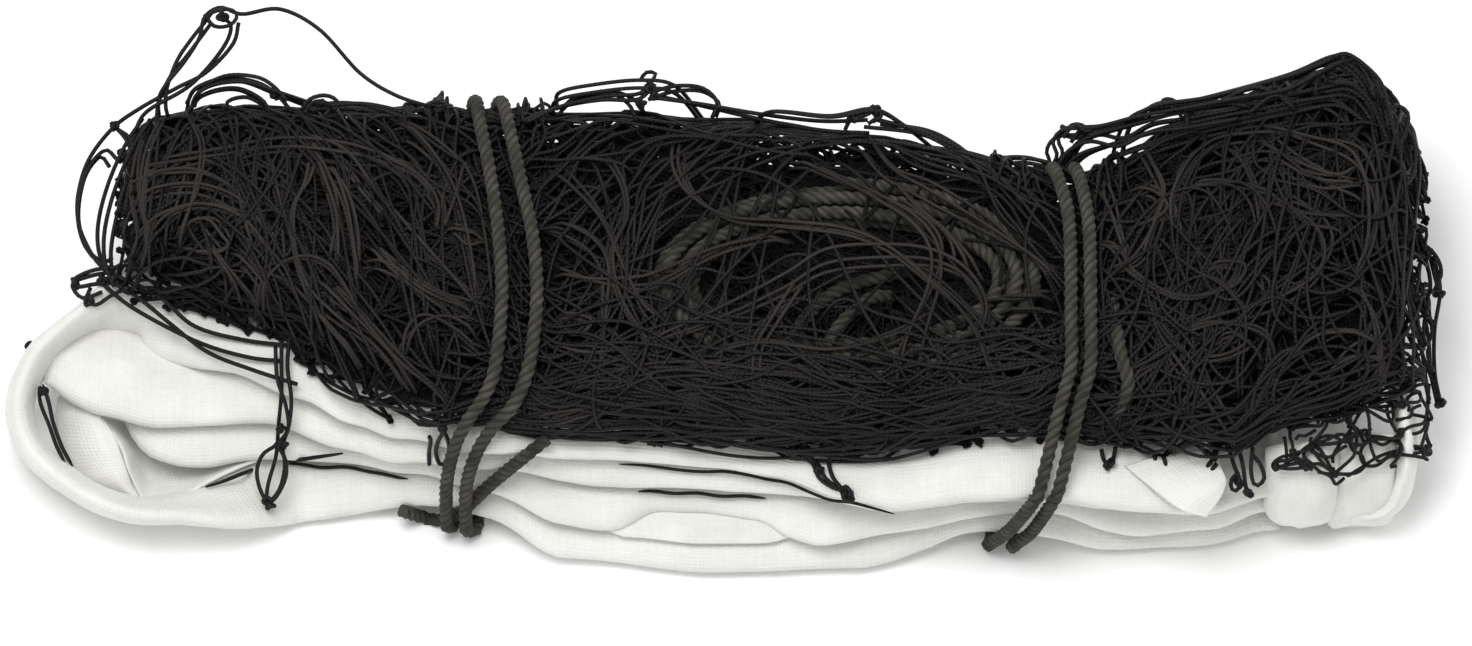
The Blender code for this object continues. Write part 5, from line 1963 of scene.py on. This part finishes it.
    def core_section(self, x: float) -> np.ndarray:
        """Section (y, z) of the deeper layers at x, a little inside the netting's own.

        Args:
            x: Place along the bundle.

        Returns:
            Points evenly spaced round it.
        """
        profile = self.bundle.crown_profile(x)
        crown = self.bundle.crown_steps + 1
        top = np.array(profile[:crown])
        middle = (top[0, 0] + top[-1, 0]) / 2
        half = (top[-1, 0] - top[0, 0]) / 2
        top[:, 0] = middle + (top[:, 0] - middle) * (1 - self.core_edge / half)
        shelf = self.bundle.shelf_height(x)
        keep = 1 - self.core_inset / (top[:, 1].max() - shelf)
        top[:, 1] = shelf + self.core_lift + (top[:, 1] - shelf) * keep
        ring = np.concatenate([top, np.array(profile[crown:]) + self.core_feet])
        closed = np.concatenate([ring, ring[:1]])
        along = running(np.linalg.norm(np.diff(closed, axis=0), axis=1))
        wanted = np.linspace(0, along[-1], self.core_points + 1)[:-1]
        return np.stack([np.interp(wanted, along, closed[:, k]) for k in (0, 1)], axis=1)

    def build_core(self, stretch: Stretch, nodes: tuple[str, ...]) -> None:
        """The deeper layers of one stretch, pressed together: what shows between the strands.

        Args:
            stretch: The stretch.
            nodes: CAD nodes that they stand for.
        """
        left = max(stretch.value[0], self.bundle.net_left + self.core_ends[0])
        right = min(stretch.value[1], self.bundle.net_right - self.core_ends[1])
        xs = np.linspace(left, right, round((right - left) / self.core_step) + 1)
        rings = []
        for x in xs:
            edge = min(x - self.bundle.net_left, self.bundle.net_right - x)
            narrow = 1 - self.core_taper[0] * max(0.0, 1 - edge / self.core_taper[1]) ** 2
            section = self.core_section(x)
            centre = section.mean(axis=0)
            for y, z in section:
                ruffle = noise.noise(Vector((x * 130, y * 130, z * 130))) * self.core_ruffle
                away = Vector((y - centre[0], z - centre[1])).normalized()
                away = away * (ruffle - self.core_ruffle)
                rings.append((x, centre[0] + (y - centre[0]) * narrow + away.x,
                              max(z + away.y, self.bundle.tie_rise(x) + self.core_floor)))
        index = np.arange(len(rings)).reshape(len(xs), -1)
        after = np.roll(index, -1, axis=1)
        quads = np.stack([index[:-1], index[1:], after[1:], after[:-1]], axis=-1).reshape(-1, 4)
        uvs = np.zeros((len(quads), 4, 2))
        caps = [index[0].tolist(), index[-1, ::-1].tolist()]
        made = Swept(self.bundle.shifted(np.array(rings)), quads, uvs, caps)
        # The deeper layers are black twine, drawn darker still as painted shade
        add_mesh(f"net_layers_{stretch.name.lower()}", made, self.deep_finish, nodes)

    def build(self) -> None:
        """Settle the net and sweep its twine, in the three stretches that the ties make."""
        rng = np.random.default_rng(SEED)
        facts = self.limits()
        knots, depth = self.knots(facts, rng)
        flat = knots.reshape(-1, 3)
        pairs = self.edges((self.columns, self.rows))
        lengthwise = (self.columns - 1) * self.rows
        lines = self.first_lines(flat, pairs, lengthwise, rng)
        slack = 1 + np.clip(rng.normal(*self.reach_spread, len(pairs)), *self.reach_limits)
        layer = depth.reshape(-1)[pairs[:, 0]]
        chosen = rng.random(len(pairs)) < self.over_share
        over = ((layer > self.over_from) & chosen).astype(float)
        lines = self.relax(lines, pairs, len(flat), slack, over, facts)
        ends = np.zeros((len(flat), 3))
        ends[pairs[:, 0]] = lines[:, 0]
        ends[pairs[:, 1]] = lines[:, -1]
        fine = self.bundle.shifted(self.press_under_ties(curve_through(lines, self.smooth)))
        knotted = self.bundle.shifted(self.knot_lines(ends, rng))
        outline = np.full(self.sides, self.twine / 2)
        laid = self.lay_bights(rng)
        arcs = self.lay_arcs(facts, rng)
        walls = self.lay_walls(facts, rng)
        for stretch in Stretch:
            left, right = stretch.value
            side = stretch.name.lower()
            body = "middle" if stretch is Stretch.MIDDLE else f"{side}_end"
            nodes = (f"netting_{body}", f"netting_{side}_cross_strand",
                     f"netting_{side}_long_strand")
            middle, centre = fine[:, fine.shape[1] // 2, 0], knotted[:, 0, 0]
            chosen = fine[(middle >= left) & (middle < right)]
            # The settled tangle and its knots take the darker twine: painted shade
            add_mesh(f"net_twine_{side}", sweep(chosen, outline, self.lay), self.painted_shade_finish,
                     nodes)
            own = knotted[(centre >= left) & (centre < right)]
            made = sweep(own, np.full(4, self.twine * 0.5), self.lay)
            add_mesh(f"net_knots_{side}", made, self.painted_shade_finish)
            # The arcs on top take the lighter twine: painted light
            for kind, lines, finish in (("bights", laid[stretch] + walls[stretch], self.finish),
                                        ("arcs", arcs[stretch], self.painted_lit_finish)):
                made = joined([sweep(self.bundle.shifted(line)[None], outline, self.lay)
                               for line in lines])
                add_mesh(f"net_{kind}_{side}", made, finish)
            self.build_core(stretch, nodes)


@dataclass
class LooseTwine:
    """Loops, strands and knots of twine that stand out of the bundle or hang over the tape."""

    bundle: Bundle
    finish: bpy.types.Material
    twine: float = 0.0018
    lay: float = 0.006
    sides: int = 8
    step: float = 0.0022
    # For each piece: the CAD nodes it stands for, its strands, and its knots as (place, size mm)
    groups: dict[str, tuple[tuple[str, ...], tuple[tuple[Place, ...], ...],
                            tuple[tuple[Place, float], ...]]] = field(default_factory=lambda: {
        "twine_stray_loop": (("netting_stray_loop",),
            (((-119, 0.93), (428, 106, 95), (395, 95, 101), (360, 73, 106), (320, 30, 112),
              (280, 9, 113), (242, 14, 112), (220, 7, 110), (204, 17, 110), (199, 38, 107),
              (184, 62, 103), (160, 94, 96), (-237, 0.93)),
             ((204, 14, 110), (214, 26, 109), (230, 25, 111), (237, 15, 112), (228, 9, 112),
              (212, 12, 111), (206, 21, 109)),
             ((206, 20, 109), (190, 40, 105), (176, 62, 102), (166, 92, 96), (168, 116, 90),
              (-226, 0.9)),
             ((440, 112, 93), (446, 106, 95), (438, 101, 97), (428, 106, 96), (434, 114, 93))),
            (((222, 16, 111), 2.3), ((438, 109, 94), 1.9))),
        "twine_stray_leg": (("netting_stray_leg",),
            (((216, 17, 106), (230, 24, 104), (222, 48, 101), (190, 85, 97), (146, 112, 92),
              (-248, 0.9)),
             ((211, 22, 106), (186, 56, 101), (170, 76, 98), (158, 104, 93), (156, 132, 86)),
             ((238, 22, 106), (232, 44, 102), (206, 72, 99), (176, 88, 96), (140, 108, 92),
              (112, 128, 86), (88, 160, 80), (78, 196, 77), (80, 226, 75), (94, 256, 72),
              (108, 272, 70))),
            (((114, 126, 87), 1.7),)),
        "twine_left_loops": (("netting_left_loop",),
            (((117, 160, 80), (104, 150, 80), (86, 172, 79), (78, 212, 76), (86, 246, 73),
              (104, 262, 71), (113, 258, 70)),
             ((142, 118, 86), (124, 146, 82), (108, 184, 78), (99, 222, 75), (100, 252, 72),
              (110, 274, 69)),
             ((110, 122, 87), (126, 140, 84), (133, 160, 80)),
             ((152, 126, 85), (140, 150, 81), (124, 190, 77), (114, 232, 73), (112, 262, 70),
              (118, 282, 67))),
            ()),
        "twine_corner_knot": (("netting_corner_knot",),
            (((114, 272, 70), (92, 276, 69), (74, 284, 68), (84, 298, 67), (104, 292, 68)),
             ((118, 268, 70), (96, 270, 70), (76, 279, 69), (78, 287, 68), (98, 284, 68),
              (124, 282, 67)),
             ((92, 288, 67), (88, 300, 66), (98, 305, 65), (112, 296, 66), (128, 288, 66))),
            (((77, 283, 68.5), 2.3), ((90, 301, 66.0), 1.9), ((104, 280, 69.5), 2.0))),
        "twine_draped_strands": (("netting_drape_strand",),
            (((104, 284, 68), (136, 309, 64.4), (200, 342, 62.7), (250, 357, 62.7),
              (285, 361, 62.7)),
             ((110, 280, 69), (140, 298, 66), (170, 322, 64.0), (210, 352, 62.7), (256, 370, 62.7),
              (300, 384, 62.7)),
             ((118, 276, 70), (160, 296, 67), (196, 326, 64.0), (246, 340, 63.0),
              (296, 346, 63.2)),
             ((296, 346, 64.0), (310, 348, 64.6), (318, 356, 63.6), (308, 364, 62.9),
              (296, 358, 63.4))),
            (((128, 290, 67.5), 1.9),)),
        "twine_top_loops_left": (("netting_top_loop_left",),
            (((-226, 0.93), (192, 92, 97), (212, 82, 99), (244, 82, 99), (278, 95, 96),
              (-168, 0.93)),
             ((186, 104, 92), (196, 88, 96), (224, 78, 99), (256, 82, 99), (276, 94, 96),
              (292, 112, 92)),
             ((188, 112, 90), (204, 94, 95), (236, 88, 97), (262, 100, 94), (270, 116, 90)),
             ((304, 116, 91), (310, 104, 94), (322, 101, 95), (330, 108, 93), (322, 118, 91)),
             ((316, 104, 94), (350, 103, 95), (384, 110, 93), (410, 120, 91)),
             ((226, 112, 91), (228, 101, 94), (246, 97, 95), (262, 104, 93))),
            (((320, 103, 94.5), 1.6), ((274, 96, 95.5), 1.6))),
        "twine_top_loops_middle": (("netting_top_loop_middle",),
            (((-72, 0.93), (556, 101, 96), (590, 93, 99), (640, 88, 100), (676, 94, 98),
              (-8, 0.93)),
             ((520, 122, 90), (556, 108, 94), (600, 100, 97), (636, 100, 98), (650, 90, 100),
              (655, 84, 101), (646, 86, 101), (642, 96, 99)),
             ((652, 92, 100), (676, 86, 101), (702, 88, 100), (717, 102, 97), (712, 118, 93)),
             ((656, 98, 99), (700, 104, 97), (760, 114, 94), (820, 121, 92), (868, 120, 92)),
             ((560, 110, 93), (578, 96, 97), (612, 94, 98), (630, 106, 95), (636, 122, 91))),
            (((650, 87, 100.5), 2.3), ((641, 104, 97), 1.9), ((655, 96, 99), 1.7))),
        "twine_top_loops_centre": (("netting_top_loop_centre",),
            (((12, 0.93), (770, 112, 97), (830, 116, 96), (872, 109, 97), (902, 124, 93),
              (92, 0.93)),
             ((846, 124, 93), (852, 114, 95), (866, 112, 96), (874, 106, 97), (878, 116, 95),
              (868, 124, 93)),
             ((876, 120, 94), (912, 128, 92), (946, 142, 89), (976, 158, 85), (988, 172, 81)),
             ((880, 124, 92), (926, 130, 90), (958, 146, 87), (980, 166, 83)),
             ((984, 166, 82), (1002, 158, 84), (1030, 158, 84), (1056, 168, 82), (1064, 180, 79)),
             ((992, 174, 80), (1014, 163, 83), (1042, 166, 82), (1058, 178, 79))),
            (((856, 118, 94.5), 1.9), ((875, 110, 96.5), 1.9))),
        "twine_apex_loops": (("netting_apex_loop",),
            (((164, 0.93), (1140, 113, 98), (1210, 97, 102), (1290, 76, 105), (1336, 58, 108),
              (1358, 60, 107), (1374, 80, 104), (1382, 102, 99), (273, 0.8)),
             ((132, 0.95), (1062, 156, 86), (1058, 140, 90), (1068, 128, 93), (1100, 126, 94),
              (1140, 116, 97), (1196, 106, 99), (1240, 98, 101), (1286, 90, 103), (1322, 72, 106),
              (1342, 62, 108)),
             ((136, 0.93), (1066, 160, 84), (1076, 144, 89), (1096, 134, 91), (1124, 138, 90),
              (1152, 124, 94), (1190, 118, 96), (1240, 108, 98), (196, 0.9)),
             ((140, 0.9), (1080, 158, 85), (1108, 146, 88), (1150, 132, 92), (1204, 116, 96),
              (1262, 102, 100), (1312, 90, 103), (1350, 86, 103), (1372, 112, 97), (262, 0.85)),
             ((146, 0.9), (1092, 172, 81), (1120, 154, 86), (1166, 138, 91), (1220, 124, 94),
              (1280, 110, 98), (1330, 100, 100), (1360, 118, 96), (250, 0.85)),
             ((150, 0.86), (1108, 176, 80), (1140, 158, 85), (1186, 144, 89), (1240, 132, 92),
              (1296, 122, 94), (240, 0.9)),
             ((138, 0.93), (1074, 150, 86), (1090, 138, 90), (1130, 126, 94), (1180, 112, 97),
              (1222, 104, 99), (1250, 108, 98), (202, 0.93)),
             ((1064, 132, 91), (1074, 124, 93), (1086, 128, 92), (1078, 138, 90), (1066, 136, 90)),
             ((1148, 118, 96), (1154, 107, 99), (1166, 104, 100), (1178, 112, 98),
              (1182, 120, 96)),
             ((1234, 106, 99), (1262, 90, 103), (1282, 94, 102), (1296, 106, 99)),
             ((1318, 88, 103), (1322, 72, 106), (1340, 62, 108), (1358, 74, 105), (1372, 96, 100),
              (1380, 128, 93), (1384, 150, 88)),
             ((1326, 82, 104), (1346, 82, 104), (1364, 100, 100), (1372, 124, 94),
              (1378, 150, 88)),
             ((1336, 66, 107), (1352, 62, 107), (1378, 84, 102), (1384, 106, 97), (1388, 132, 92),
              (1392, 160, 86))),
            (((1346, 63, 107), 2.5), ((1272, 88, 103.5), 1.8), ((1330, 76, 105), 1.9),
             ((1384, 104, 98), 1.7), ((1064, 130, 91), 1.9))),
        "twine_right_loops": (("netting_right_loop",),
            (((1392, 128, 93), (1402, 124, 92), (1414, 142, 91), (1413, 170, 91), (1404, 186, 92)),
             ((1386, 140, 91), (1386, 118, 94), (1396, 106, 95), (1408, 114, 94), (1404, 136, 91),
              (1392, 150, 89)),
             ((1392, 156, 88), (1404, 176, 85), (1402, 192, 82), (1394, 180, 84))),
            (((1386, 106, 96.5), 1.5),)),
        "twine_right_edge": (("netting_right_strip",),
            (((1434, 258, 62), (1440, 290, 58), (1434, 330, 52), (1434, 372, 44), (1440, 404, 38)),
             ((1404, 196, 79), (1416, 226, 72), (1428, 252, 66), (1436, 282, 60), (1441, 297, 57)),
             ((1408, 204, 76), (1418, 238, 70), (1426, 262, 64), (1430, 286, 60), (1424, 310, 56),
              (1428, 340, 50), (1430, 372, 44), (1436, 402, 39)),
             ((1418, 262, 66), (1424, 246, 68), (1437, 258, 65), (1441, 274, 61), (1434, 290, 59)),
             ((1416, 300, 58), (1418, 330, 53), (1422, 356, 48), (1425, 380, 44), (1428, 404, 39)),
             ((1412, 272, 66), (1412, 304, 60), (1416, 328, 54), (1421, 352, 49), (1433, 384, 42)),
             ((1428, 384, 42), (1426, 410, 40), (1424, 432, 38), (1428, 446, 37)),
             ((1404, 330, 60), (1414, 352, 56), (1422, 376, 48), (1428, 400, 42))),
            (((1439, 294, 57.5), 2.2), ((1440, 403, 38.5), 2.2), ((1434, 262, 64), 1.8),
             ((1426, 449, 37), 2.2))),
        "twine_hanging_left": (("netting_hanging_left",),
            (((284, 340, 70), (284, 364, 66), (284, 392, 60), (280, 425, 43), (277, 455, 31),
              (269, 484, 25), (267, 504, 22.5)),
             ((292, 334, 70), (290, 366, 66), (294, 398, 61), (291, 424, 47), (284, 446, 36),
              (286, 466, 31), (281, 488, 27), (271, 502, 24)),
             ((278, 346, 70), (280, 378, 65), (288, 404, 58), (290, 428, 45), (278, 444, 37),
              (264, 454, 33), (258, 470, 30), (261, 488, 27), (268, 502, 24)),
             ((277, 442, 38), (286, 458, 34), (287, 476, 30), (279, 494, 26), (270, 504, 24))),
            (((270, 503, 24.5), 2.7), ((283, 428, 45), 1.6), ((285, 444, 38), 1.6))),
        "twine_hanging_pair": (("netting_hanging_pair",),
            (((-122, 0.0), (433, 440, 0), (431, 452, 0), (431, 464, 0)),
             ((446, 392, 68), (448, 412, 66), (447, 428, 0), (440, 442, 0), (438, 454, 0),
              (443, 465, 0), (450, 455, 0), (451, 441, 0), (446, 428, 0))),
            (((446, 428, 0), 1.6),)),
        "twine_hanging_centre": (("netting_hanging_centre",),
            (((34, 0.05), (818, 464, 0), (824, 476, 0), (842, 491, 0)),
             ((26, 0.05), (810, 460, 0), (818, 476, 0), (832, 486, 0), (846, 490, 0)),
             ((44, 0.05), (828, 462, 0), (832, 476, 0), (840, 486, 0), (848, 494, 0))),
            (((845, 491, 0), 2.9), ((849, 494, 0), 2.2), ((818, 468, 0), 1.7))),
        "twine_hanging_right": (("netting_hanging_right",),
            (((181, 0.03), (1166, 473, 0), (1182, 478, 0), (1197, 472, 0), (201, 0.03)),
             ((1150, 452, 66), (1154, 466, 0), (1168, 480, 0), (1184, 484, 0), (1200, 476, 0),
              (1212, 462, 66)),
             ((1098, 448, 66), (1100, 458, 0), (1106, 464, 0), (1110, 456, 0), (1112, 446, 66)),
             ((1224, 446, 66), (1230, 466, 62), (1236, 482, 60), (1229, 490, 59), (1226, 480, 60),
              (1234, 470, 62)),
             ((1248, 446, 66), (1246, 468, 62), (1250, 484, 59), (1259, 478, 60), (1256, 464, 62),
              (1248, 454, 64)),
             ((1232, 440, 67), (1238, 464, 63), (1241, 486, 59), (1246, 494, 58))),
            (((1105, 463, 0), 2.4), ((1234, 482, 60), 1.9), ((1243, 491, 58.5), 2.0),
             ((1170, 480, 0), 1.6))),
        "twine_behind_tape": ((),
            (((40, 388, 44), (42, 404, 41), (50, 424, 37), (58, 446, 33), (66, 462, 30)),
             ((44, 384, 45), (50, 402, 42), (55, 424, 38), (64, 448, 33), (74, 466, 29))),
            (((44, 391, 43.5), 1.8), ((31, 347, 45), 2.4))),
        "twine_eye_strands": ((),
            (((206, 487, 20), (224, 481, 21.5), (244, 473, 23), (268, 465, 0), (304, 459, 0),
              (344, 453, 0)),),
            ()),
    })
    # Lengths of lacing in the creases: (crease, left x and right x in mm, thickness)
    lacing: dict[str, tuple[int, float, float, float]] = field(default_factory=lambda: {
        "lacing_left": (0, -183, -132, 0.8), "lacing_middle": (1, -36, 17, 0.85),
        "lacing_front": (2, -44, 70, 0.75)})
    # Strands that lie beside each strand of a piece, and how far off
    echoes: dict[str, int] = field(default_factory=lambda: {
        "twine_apex_loops": 2, "twine_top_loops_left": 1,
        "twine_top_loops_middle": 1, "twine_top_loops_centre": 1, "twine_left_loops": 1})
    echo_spread: float = 0.0021
    lacing_out: float = 0.0012
    lacing_wave: float = 0.0004
    # How far the open cells' corners and twine stray
    cell_stray: float = 0.0011
    cell_second: tuple[float, float, float] = (0.0030, 0.0030, 0.0006)
    cell_bend: float = 0.0014
    cell_knot: float = 1.1
    # Corners of the open cells: rows of (column, row, height mm)
    cells: tuple[tuple[Place, ...], ...] = (
        ((1286, 392, 70), (1310, 388, 70), (1336, 384, 69), (1362, 380, 68), (1388, 374, 66),
         (1412, 368, 62)),
        ((1290, 424, 65), (1316, 416, 65), (1340, 411, 64.5), (1364, 407, 63), (1390, 402, 61),
         (1420, 394, 54)),
        ((1284, 450, 63.5), (1310, 444, 63.5), (1342, 440, 62.5), (1368, 434, 60), (1396, 430, 56),
         (1424, 420, 49)),
        ((1272, 469, 62), (1304, 470, 61), (1334, 468, 58.5), (1362, 463, 55), (1388, 457, 51),
         (1422, 448, 44)))

    def swept(self, points: list[Vector], size: float = 1.0, thin: float = 1.0) -> Swept:
        """Twine along points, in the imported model's frame, whose ends may sink out of sight.

        Args:
            points: Points of the strand.
            size: Factor on its thickness.
            thin: Share of its thickness at its ends.

        Returns:
            The strand.
        """
        line = self.bundle.shifted(evenly(np.array([p.xyz for p in points]), self.step))
        t = np.linspace(0, 1, len(line))
        end = np.clip(8 * np.minimum(t, t[::-1]), 0, 1)
        swell = thin + (1 - thin) * np.sqrt(end)
        return sweep(line[None], np.full(self.sides, self.twine / 2 * size), self.lay, swell[None])

    def knot(self, centre: Vector, size: float, rng: np.random.Generator) -> Swept:
        """A tied knot: twine wound twice round itself, drawn tight.

        Args:
            centre: Its place.
            size: Its size in mm.
            rng: Source of the disorder.

        Returns:
            The knot.
        """
        basis, _ = np.linalg.qr(rng.normal(0, 1, (3, 3)))
        line = np.array(centre) + knot_shape(40, 1.2) @ basis.T * (size * MM / 3)
        outline = np.full(self.sides, self.twine * 0.52)
        return sweep(self.bundle.shifted(line)[None], outline, self.lay)

    def build(self) -> None:
        """Build the loops, the lacing and the open cells."""
        rng = np.random.default_rng(SEED + 2)
        radius = self.twine / 2
        for name, (nodes, strands, knots) in self.groups.items():
            parts = []
            for places in strands:
                line = [self.bundle.cord_place(place, radius) for place in places]
                parts.append(self.swept(line, thin=1.0 if nodes else 0.4))
                for _ in range(self.echoes.get(name, 0)):
                    aside, along = rng.normal(0, self.echo_spread, (2, 3))
                    share = np.linspace(-1, 1, len(line))
                    moved = [spot + Vector(aside + along * t) for spot, t in zip(line, share)]
                    parts.append(self.swept(moved))
            for place, size in knots:
                lifted = self.bundle.cord_place(place, radius + size * MM / 2)
                parts.append(self.knot(lifted, size, rng))
            add_mesh(name, joined(parts), self.finish, nodes)
        self.build_lacing()
        self.build_open_cells(rng)

    def build_lacing(self) -> None:
        """Lacing that shows in the creases between the headband's runs."""
        for node, (crease, left, right, size) in self.lacing.items():
            points = []
            for step in range(14):
                x = (left + (right - left) * step / 13) * MM
                y = follow(self.bundle.row_fronts_mm[crease + 1], x) + self.lacing_out
                z = self.bundle.row_height(crease, x) + self.bundle.sleeve_thickness / 2
                points.append(Vector((x, y + self.lacing_wave * math.sin(step * 1.3),
                                      z + self.twine / 2)))
            add_mesh(node.replace("lacing", "lacing_twine"), self.swept(points, size, 0.3),
                     self.finish, (node,))

    def build_open_cells(self, rng: np.random.Generator) -> None:
        """Crumpled cells of net that spill over the right end of the headband.

        Args:
            rng: Source of the disorder.
        """
        grid = self.bundle.seen_grid(self.cells)
        grid[1:] += rng.normal(0, self.cell_stray, grid[1:].shape)
        rows, columns = grid.shape[:2]
        index = np.arange(rows * columns).reshape(rows, columns)
        down = np.stack([index[:-1], index[1:]], -1).reshape(-1, 2)
        along = np.stack([index[:, :-1], index[:, 1:]], -1).reshape(-1, 2)
        slant = np.stack([index[:-1:2, :-1], index[1::2, 1:]], -1).reshape(-1, 2)
        pairs = np.concatenate([down, along, along, slant])
        flat = grid.reshape(-1, 3)
        t = np.linspace(0, 1, 11)[None, :, None]
        lines = flat[pairs[:, 0]][:, None] * (1 - t) + flat[pairs[:, 1]][:, None] * t
        second = lines + rng.normal(0, self.cell_second[0], (len(pairs), 1, 3)) * (1, 1, 0.2)
        lines = np.concatenate([lines, second[rng.random(len(pairs)) < 0.5]])
        bow = rng.normal(0, 1, (len(lines), 1, 3)) * self.cell_second
        bend = rng.normal(0, self.cell_bend, (len(lines), 1, 3)) * (1, 1, 0.3)
        lines = lines + bow * np.sin(math.pi * t) + bend * np.sin(2 * math.pi * t)
        lines = self.bundle.shifted(lines)
        parts = [sweep(lines, np.full(self.sides, self.twine * 0.42), self.lay)]
        parts += [self.knot(Vector(spot), self.cell_knot, rng) for spot in flat[columns::2]]
        add_mesh("twine_open_cells", joined(parts), self.finish, ("netting_open_edge",))


@dataclass
class Studio:
    """White floor, soft light and the camera at the photograph's angle."""

    bundle: Bundle
    centre_pixel: tuple[float, float] = (736.0, 323.0)
    frame_width: float = 0.6138
    lens: float = 300.0
    sensor: float = 36.0
    floor_size: float = 6.0
    air: str = "#FFFFFF"
    air_strength: float = 0.68
    # Soft lights, as (place, side of the square, watts)
    lights: dict[str, tuple[Place, float, float]] = field(default_factory=lambda: {
        "key_light": ((-0.35, -0.30, 2.1), 1.0, 30.0), "fill_light": ((1.3, 0.9, 1.7), 1.2, 6.0)})

    def camera(self) -> None:
        """Place the camera, with a long lens as product photographs have."""
        target = self.bundle.seen_at(*self.centre_pixel, self.bundle.middle_height)
        target = target + self.bundle.shift
        distance = self.frame_width * self.lens / self.sensor
        elevation = self.bundle.elevation
        away = Vector((0, -math.cos(elevation), math.sin(elevation)))
        data = bpy.data.cameras.new("camera")
        data.lens = self.lens
        data.sensor_width = self.sensor
        data.clip_end = 50
        camera = bpy.data.objects.new("camera", data)
        camera.location = target + away * distance
        camera.rotation_euler = (-away).to_track_quat("-Z", "Y").to_euler()
        bpy.context.scene.collection.objects.link(camera)
        bpy.context.scene.camera = camera

    def floor(self) -> None:
        """Lay the floor on the plane that the bundle rests on."""
        mesh = bpy.data.meshes.new("studio_floor")
        half = self.floor_size / 2
        mesh.from_pydata([(-half, -half, 0), (half, -half, 0), (half, half, 0), (-half, half, 0)],
                         [], [(0, 1, 2, 3)])
        mesh.materials.append(PaperFinish().make())
        floor = bpy.data.objects.new("studio_floor", mesh)
        bpy.context.scene.collection.objects.link(floor)

    def light(self, name: str, place: Place, size: float, power: float) -> None:
        """Hang one square soft light that faces the bundle.

        Args:
            name: Name of the light.
            place: Where it hangs.
            size: Side of its square.
            power: Its power in watts.
        """
        data = bpy.data.lights.new(name, "AREA")
        data.size = size
        data.energy = power
        lamp = bpy.data.objects.new(name, data)
        lamp.location = place
        lamp.rotation_euler = (-Vector(place)).to_track_quat("-Z", "Y").to_euler()
        bpy.context.scene.collection.objects.link(lamp)

    def build(self) -> None:
        """Light the scene and lay the floor."""
        world = bpy.data.worlds.new("studio_air")
        world.use_nodes = True
        background = world.node_tree.nodes["Background"]
        background.inputs["Color"].default_value = linear(self.air)
        background.inputs["Strength"].default_value = self.air_strength
        bpy.context.scene.world = world
        bpy.context.scene.view_settings.view_transform = "Standard"
        for name, (place, size, power) in self.lights.items():
            self.light(name, place, size, power)
        self.floor()


def main() -> None:
    """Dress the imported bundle."""
    logging.basicConfig(level=logging.INFO, format="%(name)s: %(message)s")
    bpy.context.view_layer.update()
    bundle = Bundle()
    studio = Studio(bundle)
    studio.camera()
    ropes = RopeWork(bundle, ROPE_FINISH.make())
    ropes.build()
    Headband(bundle, CanvasFinish().make()).build()
    twine = TWINE_FINISH.make()
    # The top arcs' twine is lighter (painted light) and the deep tangle's darker (painted shade)
    Netting(bundle, twine, LIT_TOP_TWINE_FINISH.make(), SHADED_DEEP_TWINE_FINISH.make(), PackedTwineFinish().make(),
            ropes.tied_places()).build()
    LooseTwine(bundle, twine).build()
    studio.build()


if __name__ == "__main__":
    main()
